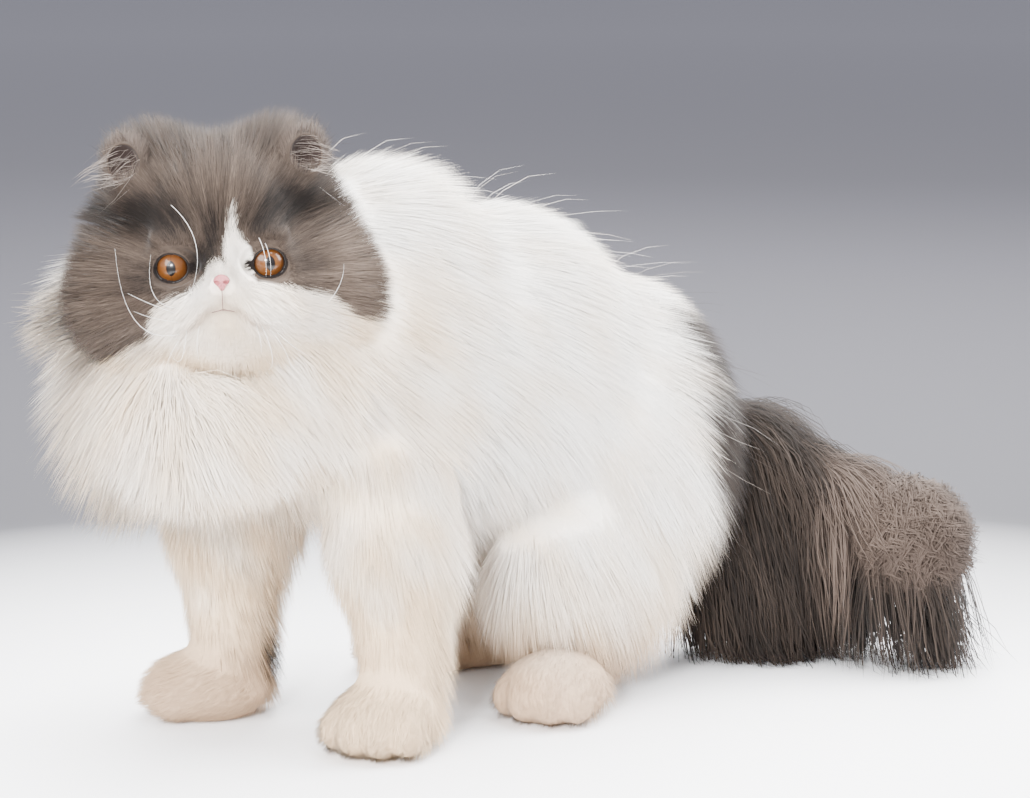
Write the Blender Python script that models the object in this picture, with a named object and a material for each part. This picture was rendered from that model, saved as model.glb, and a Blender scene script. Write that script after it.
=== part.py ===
"""Life-size long-haired cat of the Persian breed, half crouched with its head turned to its left.

Metres, +Z up. The cat faces -Y and its left side is +X. It rests on its paws at Z = 0.
The flesh is a set of blended masses. Each named part is cast from them at half the depth of its
coat, and flat tapered locks of the coat are joined to it out to their tips.
"""

import math
from dataclasses import dataclass, field, replace

import bmesh
import bpy
import numpy as np
from mathutils import Euler, Matrix, Vector

# Where the design's own origin, on the floor under the ribs, stands in the finished model.
ORIGIN_SHIFT = (-0.0382, -0.0213, 0.0)

GAP = 0.0003
STEEPEST = 0.3
SEED = 7
BLEND = 0.022
SIDES = (("left", 1.0), ("right", -1.0))

# How deep the coat is over the skin, and the share of it that the solid core fills.
CORE_SHARE = 0.45
TORSO_COAT = 0.042
NECK_COAT = 0.052
FACE_COAT = 0.004
CROWN_COAT = 0.030
CHEEK_COAT = 0.042
FACE_RADII = (0.036, 0.042)
FACE_MIDDLE = -0.014
FACE_EDGE = 1.5
HAUNCH_COAT = 0.026
FORELEG_COAT = 0.022
PAW_COAT = 0.003
TAIL_COAT = 0.048

# Trunk masses, as centre and radii.
CHEST = ((0.0, -0.078, 0.219), (0.060, 0.068, 0.074))
RIBS = ((0.0, 0.005, 0.194), (0.066, 0.086, 0.074))
HIPS = ((0.0, 0.100, 0.154), (0.066, 0.070, 0.074))
TRUNK_CENTRE = (0.0, 0.010, 0.185)
TRUNK_STRETCH = 1.7

# Limbs. A shoulder and an elbow follow their wrist forwards by a share of its Y, from a place of their own.
THIGH = ((0.046, 0.056, 0.094), (0.032, 0.060, 0.056))
SHOULDER_X, SHOULDER_Y, SHOULDER_Z = 0.040, -0.058, 0.168
ELBOW_X, ELBOW_Y, ELBOW_Z = 0.050, -0.040, 0.112
SHOULDER_FOLLOW, ELBOW_FOLLOW = 0.35, 0.5
SHOULDER_RADIUS = 0.030
ELBOW_RADIUS = 0.022
WRIST_RADIUS = 0.017

# The stance: wrists, paws and how far each paw is turned out, in degrees.
FORE_STANCE = {
    "left": ((0.056, -0.096, 0.044), (0.062, -0.112), 28.0),
    "right": ((-0.054, -0.134, 0.044), (-0.062, -0.144), 40.0),
}
HIND_STANCE = {"left": ((0.070, 0.006), 24.0), "right": ((-0.064, 0.012), 20.0)}
PAW_RADII = (0.0300, 0.035, 0.021)
PAW_HEIGHT = 0.017
PAW_BLEND = 0.0045
# How far out from the paw's middle line and how far forward the inner and outer toes are.
TOES = ((0.0082, 0.0205), (0.0215, 0.0130))
TOE_DROP = 0.0035
TOE_RADII = (0.0088, 0.0125, 0.0115)
HEEL_LENGTH = 0.085
HEEL_IN, HEEL_RISE = 0.012, 0.004
HEEL_RADII = (0.020, 0.017)

NECK_START, NECK_END = (0.0, -0.105, 0.222), (0.004, -0.150, 0.248)
NECK_RADII = (0.050, 0.036)
NECK_MIDDLE = (0.004, -0.132, 0.228)
RUFF_END = (-0.004, -0.182, 0.196)
RUFF_RADIUS = 0.034

# The head's own frame has its origin midway between the eyes' centres, -Y to the nose.
HEAD_AT = (0.009, -0.179, 0.2755)
HEAD_TURN = (-2.0, -2.4, 50.0)
EYE_OFFSET = (0.0262, -0.0195, 0.0)
EYE_RADIUS = 0.0112
EYE_SPLAY = 9.0
LID_OPENING = (0.0090, 0.0120, 0.0080)
LID_THICK = 0.0022
OPENING_AHEAD = 0.004
NOSE_AT = (0.0, -0.0440, -0.0045)
NOSE_RADII = (0.0045, 0.0042, 0.0048)
NOSTRIL_OUT, NOSTRIL_DROP = 0.0024, 0.0012
NOSTRIL_RADII = (0.0010, 0.0018, 0.0007)
MOUTH_LINE = (
    (0.0, -0.0490, -0.0225),
    (0.0055, -0.0490, -0.0232),
    (0.0120, -0.0460, -0.0262),
    (0.0190, -0.0400, -0.0310),
)
MOUTH_DEPTH = 0.0012

# The masses of the head as centre and radii. Those off its middle are mirrored.
HEAD_BLEND = 0.009
HEAD_MIDDLE = (0.0, 0.008, -0.002)
SKULL = ((0.0, 0.010, 0.008), (0.044, 0.042, 0.042))
DOME = ((0.0, -0.008, 0.026), (0.032, 0.026, 0.021))
CHEEK = ((0.0290, -0.008, -0.016), (0.0230, 0.0280, 0.0240))
BROW = ((0.0210, -0.0250, 0.0130), (0.0140, 0.0080, 0.0055))
NOSE_BUMP = ((0.0, -0.0340, -0.0030), (0.0105, 0.0095, 0.0100))
MUZZLE_PAD = ((0.0112, -0.0350, -0.0165), (0.0140, 0.0115, 0.0110))
CHIN = ((0.0, -0.0320, -0.0320), (0.0150, 0.0110, 0.0090))
JAW = ((0.0, -0.0150, -0.0330), (0.0280, 0.0240, 0.0150))
EYE_HOLLOW_AHEAD = 0.0125
EYE_HOLLOW_RADII = (0.0125, 0.0070, 0.0095)
HOLLOW_BLEND_SHARE = 0.35

EAR_BASE = (0.050, 0.004, 0.050)
EAR_LEAN, EAR_TILT, EAR_SPLAY = 22.0, -8.0, 25.0
EAR_RADII = (0.0140, 0.0080, 0.0200)
EAR_WALL = 0.0030
EAR_CUP_AHEAD, EAR_CUP_RISE = 0.75, 0.0015

TAIL_POINTS = ((0.0, 0.150, 0.150), (0.032, 0.196, 0.132), (0.084, 0.226, 0.104), (0.128, 0.244, 0.082))
TAIL_RADII = (0.017, 0.015, 0.013, 0.016)

# How the coat lies on each stretch, and the size of its locks.
BODY_LIE = (0.0, 0.85, -0.55)
LEG_LIE = (0.0, 0.25, -1.0)
HAUNCH_LIE = (0.0, 0.30, -1.0)
TAIL_LIE = (0.45, 0.30, -0.80)
BRUSH_LIE = (0.35, 0.25, -0.90)
CLUMP_COUNT = 22
CLUMP_RADIUS = 0.0200
CLUMPS_BELOW_MIDDLE = 0.012


def ellipsoid_distance(points, centre, radii, turn=None):
    """Signed distance, near enough, from points to an ellipsoid."""
    local = points - np.array(centre)
    if turn is not None:
        local = local @ np.array(turn)
    scaled = np.linalg.norm(local / radii, axis=1)
    slope = np.linalg.norm(local / np.square(radii), axis=1)
    return scaled * (scaled - 1.0) / np.maximum(slope, 1e-9)


def limb_distance(points, start, end, start_radius, end_radius):
    """Signed distance from points to a tapered round limb."""
    start, end = np.array(start), np.array(end)
    along = end - start
    share = np.clip((points - start) @ along / (along @ along), 0.0, 1.0)
    radius = start_radius + (end_radius - start_radius) * share
    return np.linalg.norm(points - start - share[:, None] * along, axis=1) - radius


def blended(first, second, reach):
    """Smooth union of two distances."""
    share = np.clip(0.5 + 0.5 * (second - first) / reach, 0.0, 1.0)
    return second + (first - second) * share - reach * share * (1.0 - share)


def smooth_step(low, high, value):
    """Goes from 0 at low to 1 at high without a corner."""
    share = np.clip((value - low) / (high - low), 0.0, 1.0)
    return share * share * (3.0 - 2.0 * share)


@dataclass
class Form:
    """Blended masses of flesh, what is carved out of them, and the depth of coat over them."""

    blend: float = BLEND
    coat: object = 0.0
    masses: list = field(default_factory=list)
    carved: list = field(default_factory=list)

    def add(self, centre, radii, turn=None):
        """Adds an ellipsoid."""
        self.masses.append((ellipsoid_distance, (centre, radii, turn)))
        return self

    def limb(self, start, end, start_radius, end_radius):
        """Adds a tapered round limb."""
        self.masses.append((limb_distance, (start, end, start_radius, end_radius)))
        return self

    def carve(self, centre, radii, turn=None):
        """Presses an ellipsoid in."""
        self.carved.append((centre, radii, turn))
        return self

    def distance(self, points):
        """Signed distance, near enough, from points to the flesh."""
        points = np.atleast_2d(np.asarray(points, float))
        total = None
        for measure, sizes in self.masses:
            own = measure(points, *sizes)
            total = own if total is None else blended(total, own, self.blend)
        for centre, radii, turn in self.carved:
            hollow = ellipsoid_distance(points, centre, radii, turn)
            total = -blended(-total, hollow, self.blend * HOLLOW_BLEND_SHARE)
        return total

    def height(self, points):
        """How far points stand over the solid core, which fills its share of the coat."""
        points = np.atleast_2d(np.asarray(points, float))
        depth = self.coat(points) if callable(self.coat) else self.coat
        return self.distance(points) - CORE_SHARE * depth

    def normal(self, point):
        """The way out of the flesh at a point."""
        step = 0.0008
        offsets = np.vstack((np.eye(3), -np.eye(3))) * step
        around = self.distance(np.asarray(point) + offsets)
        return Vector(around[:3] - around[3:]).normalized()


def cast(form, centre, directions, reach=0.4, halvings=26):
    """Where rays from centre leave the form's core."""
    centre = np.array(centre)
    directions = directions / np.linalg.norm(directions, axis=1)[:, None]
    near, far = np.zeros(len(directions)), np.full(len(directions), reach)
    for _ in range(halvings):
        middle = (near + far) / 2
        inside = form.height(centre + directions * middle[:, None]) < 0.0
        near, far = np.where(inside, middle, near), np.where(inside, far, middle)
    return centre + directions * ((near + far) / 2)[:, None]


def mesh_object(name, bm):
    """Turns a bmesh into an object of triangles."""
    bmesh.ops.triangulate(bm, faces=bm.faces, quad_method="FIXED")
    mesh = bpy.data.meshes.new(name)
    bm.to_mesh(mesh)
    bm.free()
    made = bpy.data.objects.new(name, mesh)
    bpy.context.scene.collection.objects.link(made)
    return made


def cast_ball(form, centre, grow, segments, rings, frame=None, stretch=1.0, crowd=1.0):
    """Closed grid cast from the form. Its pole is the frame's -Y, where a crowd over 1 packs the rings."""
    bm = bmesh.new()
    bmesh.ops.create_uvsphere(bm, u_segments=segments, v_segments=rings, radius=1.0)
    frame = frame or Matrix.Identity(3)
    directions = []
    for vert in bm.verts:
        polar = math.pi * (math.acos(max(-1.0, min(1.0, vert.co.z))) / math.pi) ** crowd
        around = math.atan2(vert.co.y, vert.co.x)
        wide = math.sin(polar)
        way = Vector((wide * math.sin(around), -math.cos(polar) * stretch, wide * math.cos(around)))
        directions.append(frame @ way)
    places = cast(form, centre, np.array(directions))
    for vert, place in zip(bm.verts, places):
        vert.co = place
    bm.normal_update()
    bmesh.ops.recalc_face_normals(bm, faces=bm.faces)
    bm.normal_update()
    for vert in bm.verts:
        way = (vert.co - Vector(centre)).normalized()
        vert.co += way * grow / max(vert.normal.dot(way), STEEPEST)
    return bm


def ball(centre, radii, segments=16, rings=10, turn=None):
    """Plain closed ellipsoid."""
    bm = bmesh.new()
    turn = (turn or Matrix.Identity(3)).to_4x4()
    place = Matrix.Translation(centre) @ turn @ Matrix.Diagonal((*radii, 1.0))
    bmesh.ops.create_uvsphere(bm, u_segments=segments, v_segments=rings, radius=1.0, matrix=place)
    return bm


def ring_tube(points, radii, side_hint, sides=6, turn=360.0, flat=1.0, drop=0.0):
    """Closed tube through points, its corners set evenly over turn degrees from side_hint.

    A last radius of nought closes it in a tip. flat thins it across side_hint, and drop lowers its base.
    """
    bm = bmesh.new()
    points = [Vector(p) for p in points]
    rings = []
    for i, point in enumerate(points):
        along = (points[min(i + 1, len(points) - 1)] - points[max(i - 1, 0)]).normalized()
        across = (side_hint - along * side_hint.dot(along)).normalized()
        lift = along.cross(across)
        point = point - lift * drop
        if radii[i] <= 0.0:
            rings.append([bm.verts.new(point)])
            continue
        ring = []
        for k in range(sides):
            angle = math.radians(turn) * k / sides
            out = across * math.cos(angle) + lift * flat * math.sin(angle)
            ring.append(bm.verts.new(point + out * radii[i]))
        rings.append(ring)
    for first, second in zip(rings, rings[1:]):
        for k in range(sides):
            after = (k + 1) % sides
            if len(second) == 1:
                bm.faces.new((first[k], first[after], second[0]))
            else:
                bm.faces.new((first[k], first[after], second[after], second[k]))
    bm.faces.new(rings[0])
    if len(rings[-1]) > 1:
        bm.faces.new(rings[-1])
    bm.normal_update()
    bmesh.ops.recalc_face_normals(bm, faces=bm.faces)
    return bm


@dataclass(frozen=True)
class Lock:
    """Flat tapered locks: how many are tried, their sizes, their tips' rise and how freely they hang."""

    count: int
    length: float
    width: float
    rise: float
    thick: float = 0.008
    hang: float = 0.0

    def varied(self, rng):
        """The same lock with its sizes drawn a little larger or smaller."""
        length, width, rise = rng.uniform((0.85, 0.85, 0.7), (1.2, 1.15, 1.25))
        return replace(self, length=self.length * length, width=self.width * width, rise=self.rise * rise)


CROWN_LOCK = Lock(count=42, length=0.042, width=0.031, rise=0.024)
RUFF_LOCK = Lock(count=68, length=0.064, width=0.032, rise=0.030, hang=0.35)
BODY_LOCK = Lock(count=72, length=0.068, width=0.046, rise=0.020)
FORELEG_LOCK = Lock(count=18, length=0.050, width=0.028, rise=0.012, thick=0.006)
HAUNCH_LOCK = Lock(count=20, length=0.056, width=0.040, rise=0.016)
TAIL_LOCK = Lock(count=28, length=0.115, width=0.036, rise=0.020, hang=0.85)
BRUSH_LOCK = Lock(count=18, length=0.066, width=0.030, rise=0.020, hang=0.6)

LOCK_TAPER = (0.78, 1.0, 0.70, 0.0)
LOCK_SINK = 0.008
LOCK_CLEAR = 0.0025
LOCK_SWING = 0.14
LOCK_FALL = 0.55
# The thin edges and tip of a cutting blade stand out further than its faces, so that those clear too.
EDGE_GROW, FACE_GROW, TIP_GROW = 9.0, 10.0, 14.0
DOWN = Vector((0.0, 0.0, -1.0))


def lock_path(root, lie, lock, form, keep_off):
    """Points of a lock from its sunk root to its tip, over its own core and clear of others."""
    normal = form.normal(root)
    way = (lie - normal * lie.dot(normal)).normalized()
    points = [root - (way * 0.4 + normal).normalized() * LOCK_SINK]
    place = root.copy()
    steps = len(LOCK_TAPER) - 1
    for i in range(1, steps + 1):
        place = place + way * lock.length / steps
        lift = lock.rise * (i / steps) ** 0.8 - float(form.height(place)[0])
        if lift < 0.0:
            lift *= 1.0 - lock.hang
        place = place + form.normal(place) * lift
        for other in keep_off:
            short = LOCK_CLEAR + lock.thick / 2 - float(other.height(place)[0])
            if short > 0.0:
                place = place + other.normal(place) * short
        place.z = max(place.z, lock.thick / 2 + LOCK_CLEAR)
        points.append(place.copy())
        normal = form.normal(place)
        along = (lie - normal * lie.dot(normal)).normalized()
        way = (along * (1.0 - lock.hang) + (way + DOWN * LOCK_FALL) * lock.hang).normalized()
    return points


def lock_mesh(points, side, lock, grow=0.0):
    """The lock as a closed tapered blade. grow makes the larger blade that cuts other parts clear of it."""
    radii = [lock.width / 2 * share + (grow * EDGE_GROW if share else 0.0) for share in LOCK_TAPER]
    tip = points[-1] + (points[-1] - points[-2]).normalized() * grow * TIP_GROW
    flat = (lock.thick + FACE_GROW * grow) / (lock.width + 2 * EDGE_GROW * grow)
    return ring_tube(points[:-1] + [tip], radii, side, 3, 270.0, flat, grow * 2)


def roots_over(form, centre, count, stretch=(1.0, 1.0, 1.0)):
    """Places spread evenly over a core, on a golden spiral of rays from its centre."""
    turn = math.pi * (3.0 - math.sqrt(5.0))
    rank = (np.arange(count) + 0.5) / count
    high = 1.0 - 2.0 * rank
    wide = np.sqrt(1.0 - high * high)
    angle = np.arange(count) * turn
    ways = np.column_stack((wide * np.cos(angle), wide * np.sin(angle), high)) * stretch
    return [Vector(place) for place in cast(form, centre, ways)]


@dataclass
class Part:
    """One named part: its pieces, what is cut from it, and the larger copies that cut later parts clear."""

    name: str
    colour: str
    pieces: list = field(default_factory=list)
    cutters: list = field(default_factory=list)
    clear: list = field(default_factory=list)

    def core(self, form, centre, segments, rings, **shape):
        """Casts the part's core from its form."""
        self.both(lambda grow: cast_ball(form, centre, grow, segments, rings, **shape))

    def both(self, make):
        """Adds a piece made by a function of how much to grow it."""
        self.pieces.append(mesh_object(self.name, make(0.0)))
        self.clear.append(mesh_object("clear", make(GAP)))

    def coat(self, form, roots, lie, lock, others, where=None):
        """Sets a varied lock on each root that other cores leave bare. lie gives its direction."""
        rng = np.random.default_rng(SEED + sum(map(ord, self.name)))
        for root in roots:
            own, swing = lock.varied(rng), rng.normal(0.0, LOCK_SWING, 3)
            if any(float(other.height(root)[0]) < LOCK_CLEAR for other in others):
                continue
            if where and not where(root):
                continue
            way = (lie(root) if callable(lie) else Vector(lie)).normalized() + Vector(swing)
            points = lock_path(root, way, own, form, others)
            side = form.normal(root).cross(way).normalized()
            self.both(lambda grow: lock_mesh(points, side, own, grow))


def evaluated_mesh(obj):
    """The object's mesh with its modifiers applied."""
    graph = bpy.context.evaluated_depsgraph_get()
    return bpy.data.meshes.new_from_object(obj.evaluated_get(graph))


def combine(target, others, operation):
    """Joins others to target, or cuts them from it, in one Boolean."""
    if not others:
        return
    holder = bpy.data.collections.new("operands")
    bpy.context.scene.collection.children.link(holder)
    for other in others:
        holder.objects.link(other)
    step = target.modifiers.new(operation.lower(), "BOOLEAN")
    step.operation = operation
    step.operand_type = "COLLECTION"
    step.collection = holder
    step.solver = "MANIFOLD"
    bpy.context.view_layer.update()
    result = evaluated_mesh(target)
    target.modifiers.clear()
    target.data = result
    for other in others:
        holder.objects.unlink(other)
    bpy.data.collections.remove(holder)


def box_of(obj):
    """The lowest and highest corner of an object's mesh."""
    corners = np.array([v.co for v in obj.data.vertices])
    return corners.min(0), corners.max(0)


def near(first, second):
    """Whether two objects' boxes meet."""
    low_a, high_a = box_of(first)
    low_b, high_b = box_of(second)
    return bool((low_a <= high_b).all() and (low_b <= high_a).all())


def keep_largest(obj):
    """Leaves only the largest closed surface of the mesh."""
    bm = bmesh.new()
    bm.from_mesh(obj.data)
    bmesh.ops.triangulate(bm, faces=bm.faces)
    unseen, shells = set(bm.verts), []
    while unseen:
        shell, front = set(), [unseen.pop()]
        while front:
            vert = front.pop()
            shell.add(vert)
            for edge in vert.link_edges:
                other = edge.other_vert(vert)
                if other in unseen:
                    unseen.remove(other)
                    front.append(other)
        shells.append(shell)

    def volume(shell):
        """Six times the volume that a shell of triangles holds."""
        faces = {face for vert in shell for face in vert.link_faces}
        return sum(f.verts[0].co.dot(f.verts[1].co.cross(f.verts[2].co)) for f in faces)

    largest = max(shells, key=volume)
    bmesh.ops.delete(bm, geom=[v for v in bm.verts if v not in largest], context="VERTS")
    bm.to_mesh(obj.data)
    bm.free()


COLOURS = {
    "white_coat": ((0.86, 0.83, 0.78, 1.0), 0.9),
    "grey_coat": ((0.16, 0.14, 0.13, 1.0), 0.9),
    "eye_amber": ((0.50, 0.17, 0.02, 1.0), 0.1),
    "nose_pink": ((0.65, 0.30, 0.30, 1.0), 0.5),
}


def material(name):
    """The finish of a slot, made once."""
    found = bpy.data.materials.get(name)
    if found:
        return found
    colour, roughness = COLOURS[name]
    made = bpy.data.materials.new(name)
    made.use_nodes = True
    shader = made.node_tree.nodes["Principled BSDF"]
    shader.inputs["Base Color"].default_value = colour
    shader.inputs["Roughness"].default_value = roughness
    shader.inputs["Metallic"].default_value = 0.0
    return made


def floor_cutter():
    """A slab under Z = 0."""
    bm = bmesh.new()
    place = Matrix.Translation((0.0, 0.0, -0.05)) @ Matrix.Diagonal((1.4, 1.4, 0.1, 1.0))
    bmesh.ops.create_cube(bm, size=1.0, matrix=place)
    return mesh_object("floor", bm)


def finish(parts):
    """Joins each part's pieces and cuts it clear of the parts before it and of the floor."""
    floor = floor_cutter()
    cutters = []
    for part in parts:
        body, *others = part.pieces
        combine(body, others, "UNION")
        for other in others:
            bpy.data.objects.remove(other)
        combine(body, [c for c in [floor, *part.cutters, *cutters] if near(body, c)], "DIFFERENCE")
        for cutter in part.cutters:
            bpy.data.objects.remove(cutter)
        keep_largest(body)
        body.name = part.name
        body.data.materials.clear()
        body.data.materials.append(material(part.colour))
        body.data.shade_smooth()
        body.data.set_sharp_from_angle(angle=math.radians(38))
        cutters += [*part.clear, body]
    for cutter in [floor, *(piece for part in parts for piece in part.clear)]:
        bpy.data.objects.remove(cutter)
    root = bpy.data.objects.new("cat", None)
    bpy.context.scene.collection.objects.link(root)
    root.location = ORIGIN_SHIFT
    for part in parts:
        part.pieces[0].parent = root


HEAD_FRAME = Matrix.LocRotScale(Vector(HEAD_AT), Euler([math.radians(a) for a in HEAD_TURN], "XYZ"), None)
HEAD_AXES = HEAD_FRAME.to_3x3()


def in_head(x, y, z):
    """A place given in the head's own frame."""
    return HEAD_FRAME @ Vector((x, y, z))


def head_local(points):
    """Places as the head's own frame gives them."""
    return (np.asarray(points) - np.array(HEAD_AT)) @ np.array(HEAD_AXES)


def head_coat(points):
    """Thin on the face and ears, deep on the cheeks and crown."""
    x, y, z = head_local(points).T
    from_nose = np.hypot(x / FACE_RADII[0], (z - FACE_MIDDLE) / FACE_RADII[1])
    spread = np.maximum(smooth_step(0.8, 1.8, from_nose), smooth_step(-0.010, 0.020, y))
    side = smooth_step(0.020, 0.060, np.abs(x)) * smooth_step(0.040, -0.010, z)
    depth = FACE_COAT + (CROWN_COAT + (CHEEK_COAT - CROWN_COAT) * side - FACE_COAT) * spread
    ear_x, ear_y, ear_z = EAR_BASE
    from_ear = np.sqrt((np.abs(x) - ear_x) ** 2 + (y - ear_y) ** 2 + (z - ear_z - 0.010) ** 2)
    return depth * (0.35 + 0.65 * smooth_step(0.016, 0.038, from_ear))


def neck_coat(points):
    """The ruff: full below the chin and nothing over the face."""
    x, y, z = head_local(points).T
    before_face = np.sqrt((x / 0.075) ** 2 + ((y + 0.060) / 0.060) ** 2 + ((z + 0.002) / 0.048) ** 2)
    return NECK_COAT * smooth_step(0.9, 1.3, before_face)


def trunk_form():
    """Chest, ribs and hips."""
    form = Form(coat=TORSO_COAT)
    for centre, radii in (CHEST, RIBS, HIPS):
        form.add(centre, radii)
    return form


def neck_form():
    """The neck, and the throat under the ruff."""
    form = Form(coat=neck_coat)
    form.limb(NECK_START, NECK_END, *NECK_RADII)
    return form.limb(NECK_START, RUFF_END, NECK_RADII[1], RUFF_RADIUS)


def head_form():
    """Skull, dome, cheeks, muzzle pads, nose and chin, with the eye hollows pressed in."""
    form = Form(blend=HEAD_BLEND, coat=head_coat)
    for (x, y, z), radii in (SKULL, DOME, CHEEK, BROW, NOSE_BUMP, MUZZLE_PAD, CHIN, JAW):
        for sign in (1.0, -1.0) if x else (1.0,):
            form.add(in_head(x * sign, y, z), radii, HEAD_AXES)
    for sign in (1.0, -1.0):
        x, y, z = EYE_OFFSET
        form.carve(in_head(x * sign, y - EYE_HOLLOW_AHEAD, z), EYE_HOLLOW_RADII, HEAD_AXES)
    return form


def haunch_form(sign):
    """The thigh of one side."""
    (x, y, z), radii = THIGH
    return Form(coat=HAUNCH_COAT).add((x * sign, y, z), radii)


def foreleg_form(side, sign):
    """The upper and lower foreleg of one side."""
    wrist = FORE_STANCE[side][0]
    shoulder = (SHOULDER_X * sign, wrist[1] * SHOULDER_FOLLOW + SHOULDER_Y, SHOULDER_Z)
    elbow = (ELBOW_X * sign, wrist[1] * ELBOW_FOLLOW + ELBOW_Y, ELBOW_Z)
    form = Form(coat=FORELEG_COAT)
    form.limb(shoulder, elbow, SHOULDER_RADIUS, ELBOW_RADIUS)
    return form.limb(elbow, wrist, ELBOW_RADIUS, WRIST_RADIUS)


def paw_form(place, turned, sign, heel=0.0):
    """A paw with its four toes. heel lays the long hind foot out behind it."""
    turn = Matrix.Rotation(math.radians(turned * sign), 3, "Z")
    at = Vector((*place, PAW_HEIGHT))
    form = Form(blend=PAW_BLEND, coat=PAW_COAT)
    form.add(at, PAW_RADII, turn)
    for across, forward in TOES:
        for flip in (1.0, -1.0):
            toe = at + turn @ Vector((across * flip, -forward, -TOE_DROP))
            form.add(toe, TOE_RADII, turn)
    if heel:
        form.limb(at, at + turn @ Vector((-HEEL_IN * sign, heel, HEEL_RISE)), *HEEL_RADII)
    return form, at, turn


def tail_form(first, last):
    """The stretch of the tail between two of its points."""
    form = Form(coat=TAIL_COAT)
    for i in range(first, last):
        form.limb(TAIL_POINTS[i], TAIL_POINTS[i + 1], TAIL_RADII[i], TAIL_RADII[i + 1])
    return form


def eye_places():
    """Each eye's side, sign and centre."""
    for side, sign in SIDES:
        x, y, z = EYE_OFFSET
        yield side, sign, in_head(x * sign, y, z)


def make_eyes():
    """The eyeballs."""
    parts = []
    for side, sign, centre in eye_places():
        part = Part(f"eye_{side}", "eye_amber")
        part.both(lambda grow: ball(centre, [EYE_RADIUS + grow] * 3, 14, 9, HEAD_AXES))
        parts.append(part)
    return parts


def make_nose():
    """The nose leather, with its two nostrils pressed in."""
    part = Part("nose", "nose_pink")
    part.both(lambda grow: ball(in_head(*NOSE_AT), [r + grow for r in NOSE_RADII], 10, 7, HEAD_AXES))
    for sign in (1.0, -1.0):
        at = in_head(NOSTRIL_OUT * sign, NOSE_AT[1] - NOSE_RADII[1], NOSE_AT[2] - NOSTRIL_DROP)
        part.cutters.append(mesh_object("nostril", ball(at, NOSTRIL_RADII, 6, 4, HEAD_AXES)))
    return part


def make_ears():
    """Each ear is a thin cup that opens forwards and outwards."""
    parts = []
    for side, sign in SIDES:
        part = Part(f"ear_{side}", "grey_coat")
        x, y, z = EAR_BASE
        angles = [math.radians(a) for a in (EAR_TILT, EAR_LEAN * sign, EAR_SPLAY * sign)]
        lean = Euler(angles, "XYZ").to_matrix()
        turn = HEAD_AXES @ lean
        centre = in_head(x * sign, y, z)
        part.both(lambda grow: ball(centre, [r + grow for r in EAR_RADII], 12, 8, turn))
        inner = [r - EAR_WALL for r in EAR_RADII]
        cup = centre + turn @ Vector((0.0, -EAR_RADII[1] * EAR_CUP_AHEAD, EAR_CUP_RISE))
        part.cutters.append(mesh_object("cup", ball(cup, (inner[0], EAR_RADII[1], inner[2]), 10, 7, turn)))
        parts.append(part)
    return parts


def from_nose(root):
    """The way the head's coat lies: away from the nose, and down over the cheeks."""
    x, y, z = head_local(root)
    return HEAD_AXES @ Vector((x, 0.6 * (y + 0.030), z + 0.010)) + DOWN * 0.012


def off_the_face(root):
    """Whether a lock may grow there: behind or outside the face, and clear of the ears."""
    x, y, z = head_local(root)
    ear_x, ear_y, ear_z = EAR_BASE
    by_ear = math.dist((abs(x), y, z), (ear_x, ear_y - 0.004, ear_z - 0.004)) < 0.017
    from_face = math.hypot(x / FACE_RADII[0], (z - FACE_MIDDLE) / FACE_RADII[1])
    return not by_ear and (y > 0.0 or from_face > FACE_EDGE)


def make_head(forms):
    """Head with brow, cheeks, muzzle, lids round the eyes, and the line of the mouth."""
    part = Part("head", "grey_coat")
    form, centre = forms["head"], in_head(*HEAD_MIDDLE)
    part.core(form, centre, 24, 20, frame=HEAD_AXES, crowd=1.3)
    for side, sign, eye in eye_places():
        part.both(lambda grow: ball(eye, [EYE_RADIUS + LID_THICK + grow] * 3, 14, 8, HEAD_AXES))
        look = HEAD_AXES @ Matrix.Rotation(math.radians(EYE_SPLAY * sign), 3, "Z")
        opening = eye + look @ Vector((0.0, -EYE_RADIUS - OPENING_AHEAD, 0.0))
        part.cutters.append(mesh_object("opening", ball(opening, LID_OPENING, 16, 8, look)))
    for sign in (1.0, -1.0):
        points = [in_head(x * sign, y, z) for x, y, z in MOUTH_LINE]
        radii = [MOUTH_DEPTH] * (len(points) - 1) + [0.0]
        part.cutters.append(mesh_object("mouth", ring_tube(points, radii, HEAD_AXES.col[2], 4)))
    roots = roots_over(form, centre, CROWN_LOCK.count)
    part.coat(form, roots, from_nose, CROWN_LOCK, [forms["neck"]], off_the_face)
    return part


def down_the_ruff(root):
    """The ruff spreads out from the neck and falls."""
    spread = root - Vector(NECK_START)
    return Vector((spread.x, spread.y, 0.0)).normalized() * 0.45 + DOWN


def make_neck(forms):
    """The neck with its full ruff."""
    part = Part("neck", "white_coat")
    form = forms["neck"]
    part.core(form, NECK_MIDDLE, 14, 10)
    others = [forms[name] for name in ("head", "torso", "leg_front_left", "leg_front_right")]
    roots = roots_over(form, NECK_MIDDLE, RUFF_LOCK.count)
    part.coat(form, roots, down_the_ruff, RUFF_LOCK, others)
    return part


def make_torso(forms):
    """The trunk under its long coat."""
    part = Part("torso", "white_coat")
    form = forms["torso"]
    part.core(form, TRUNK_CENTRE, 18, 14, stretch=TRUNK_STRETCH)
    others = [form for name, form in forms.items() if name not in ("torso", "tail_brush")]
    roots = roots_over(form, TRUNK_CENTRE, BODY_LOCK.count, (1.0, TRUNK_STRETCH, 1.0))
    part.coat(form, roots, BODY_LIE, BODY_LOCK, others)
    return part


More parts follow.
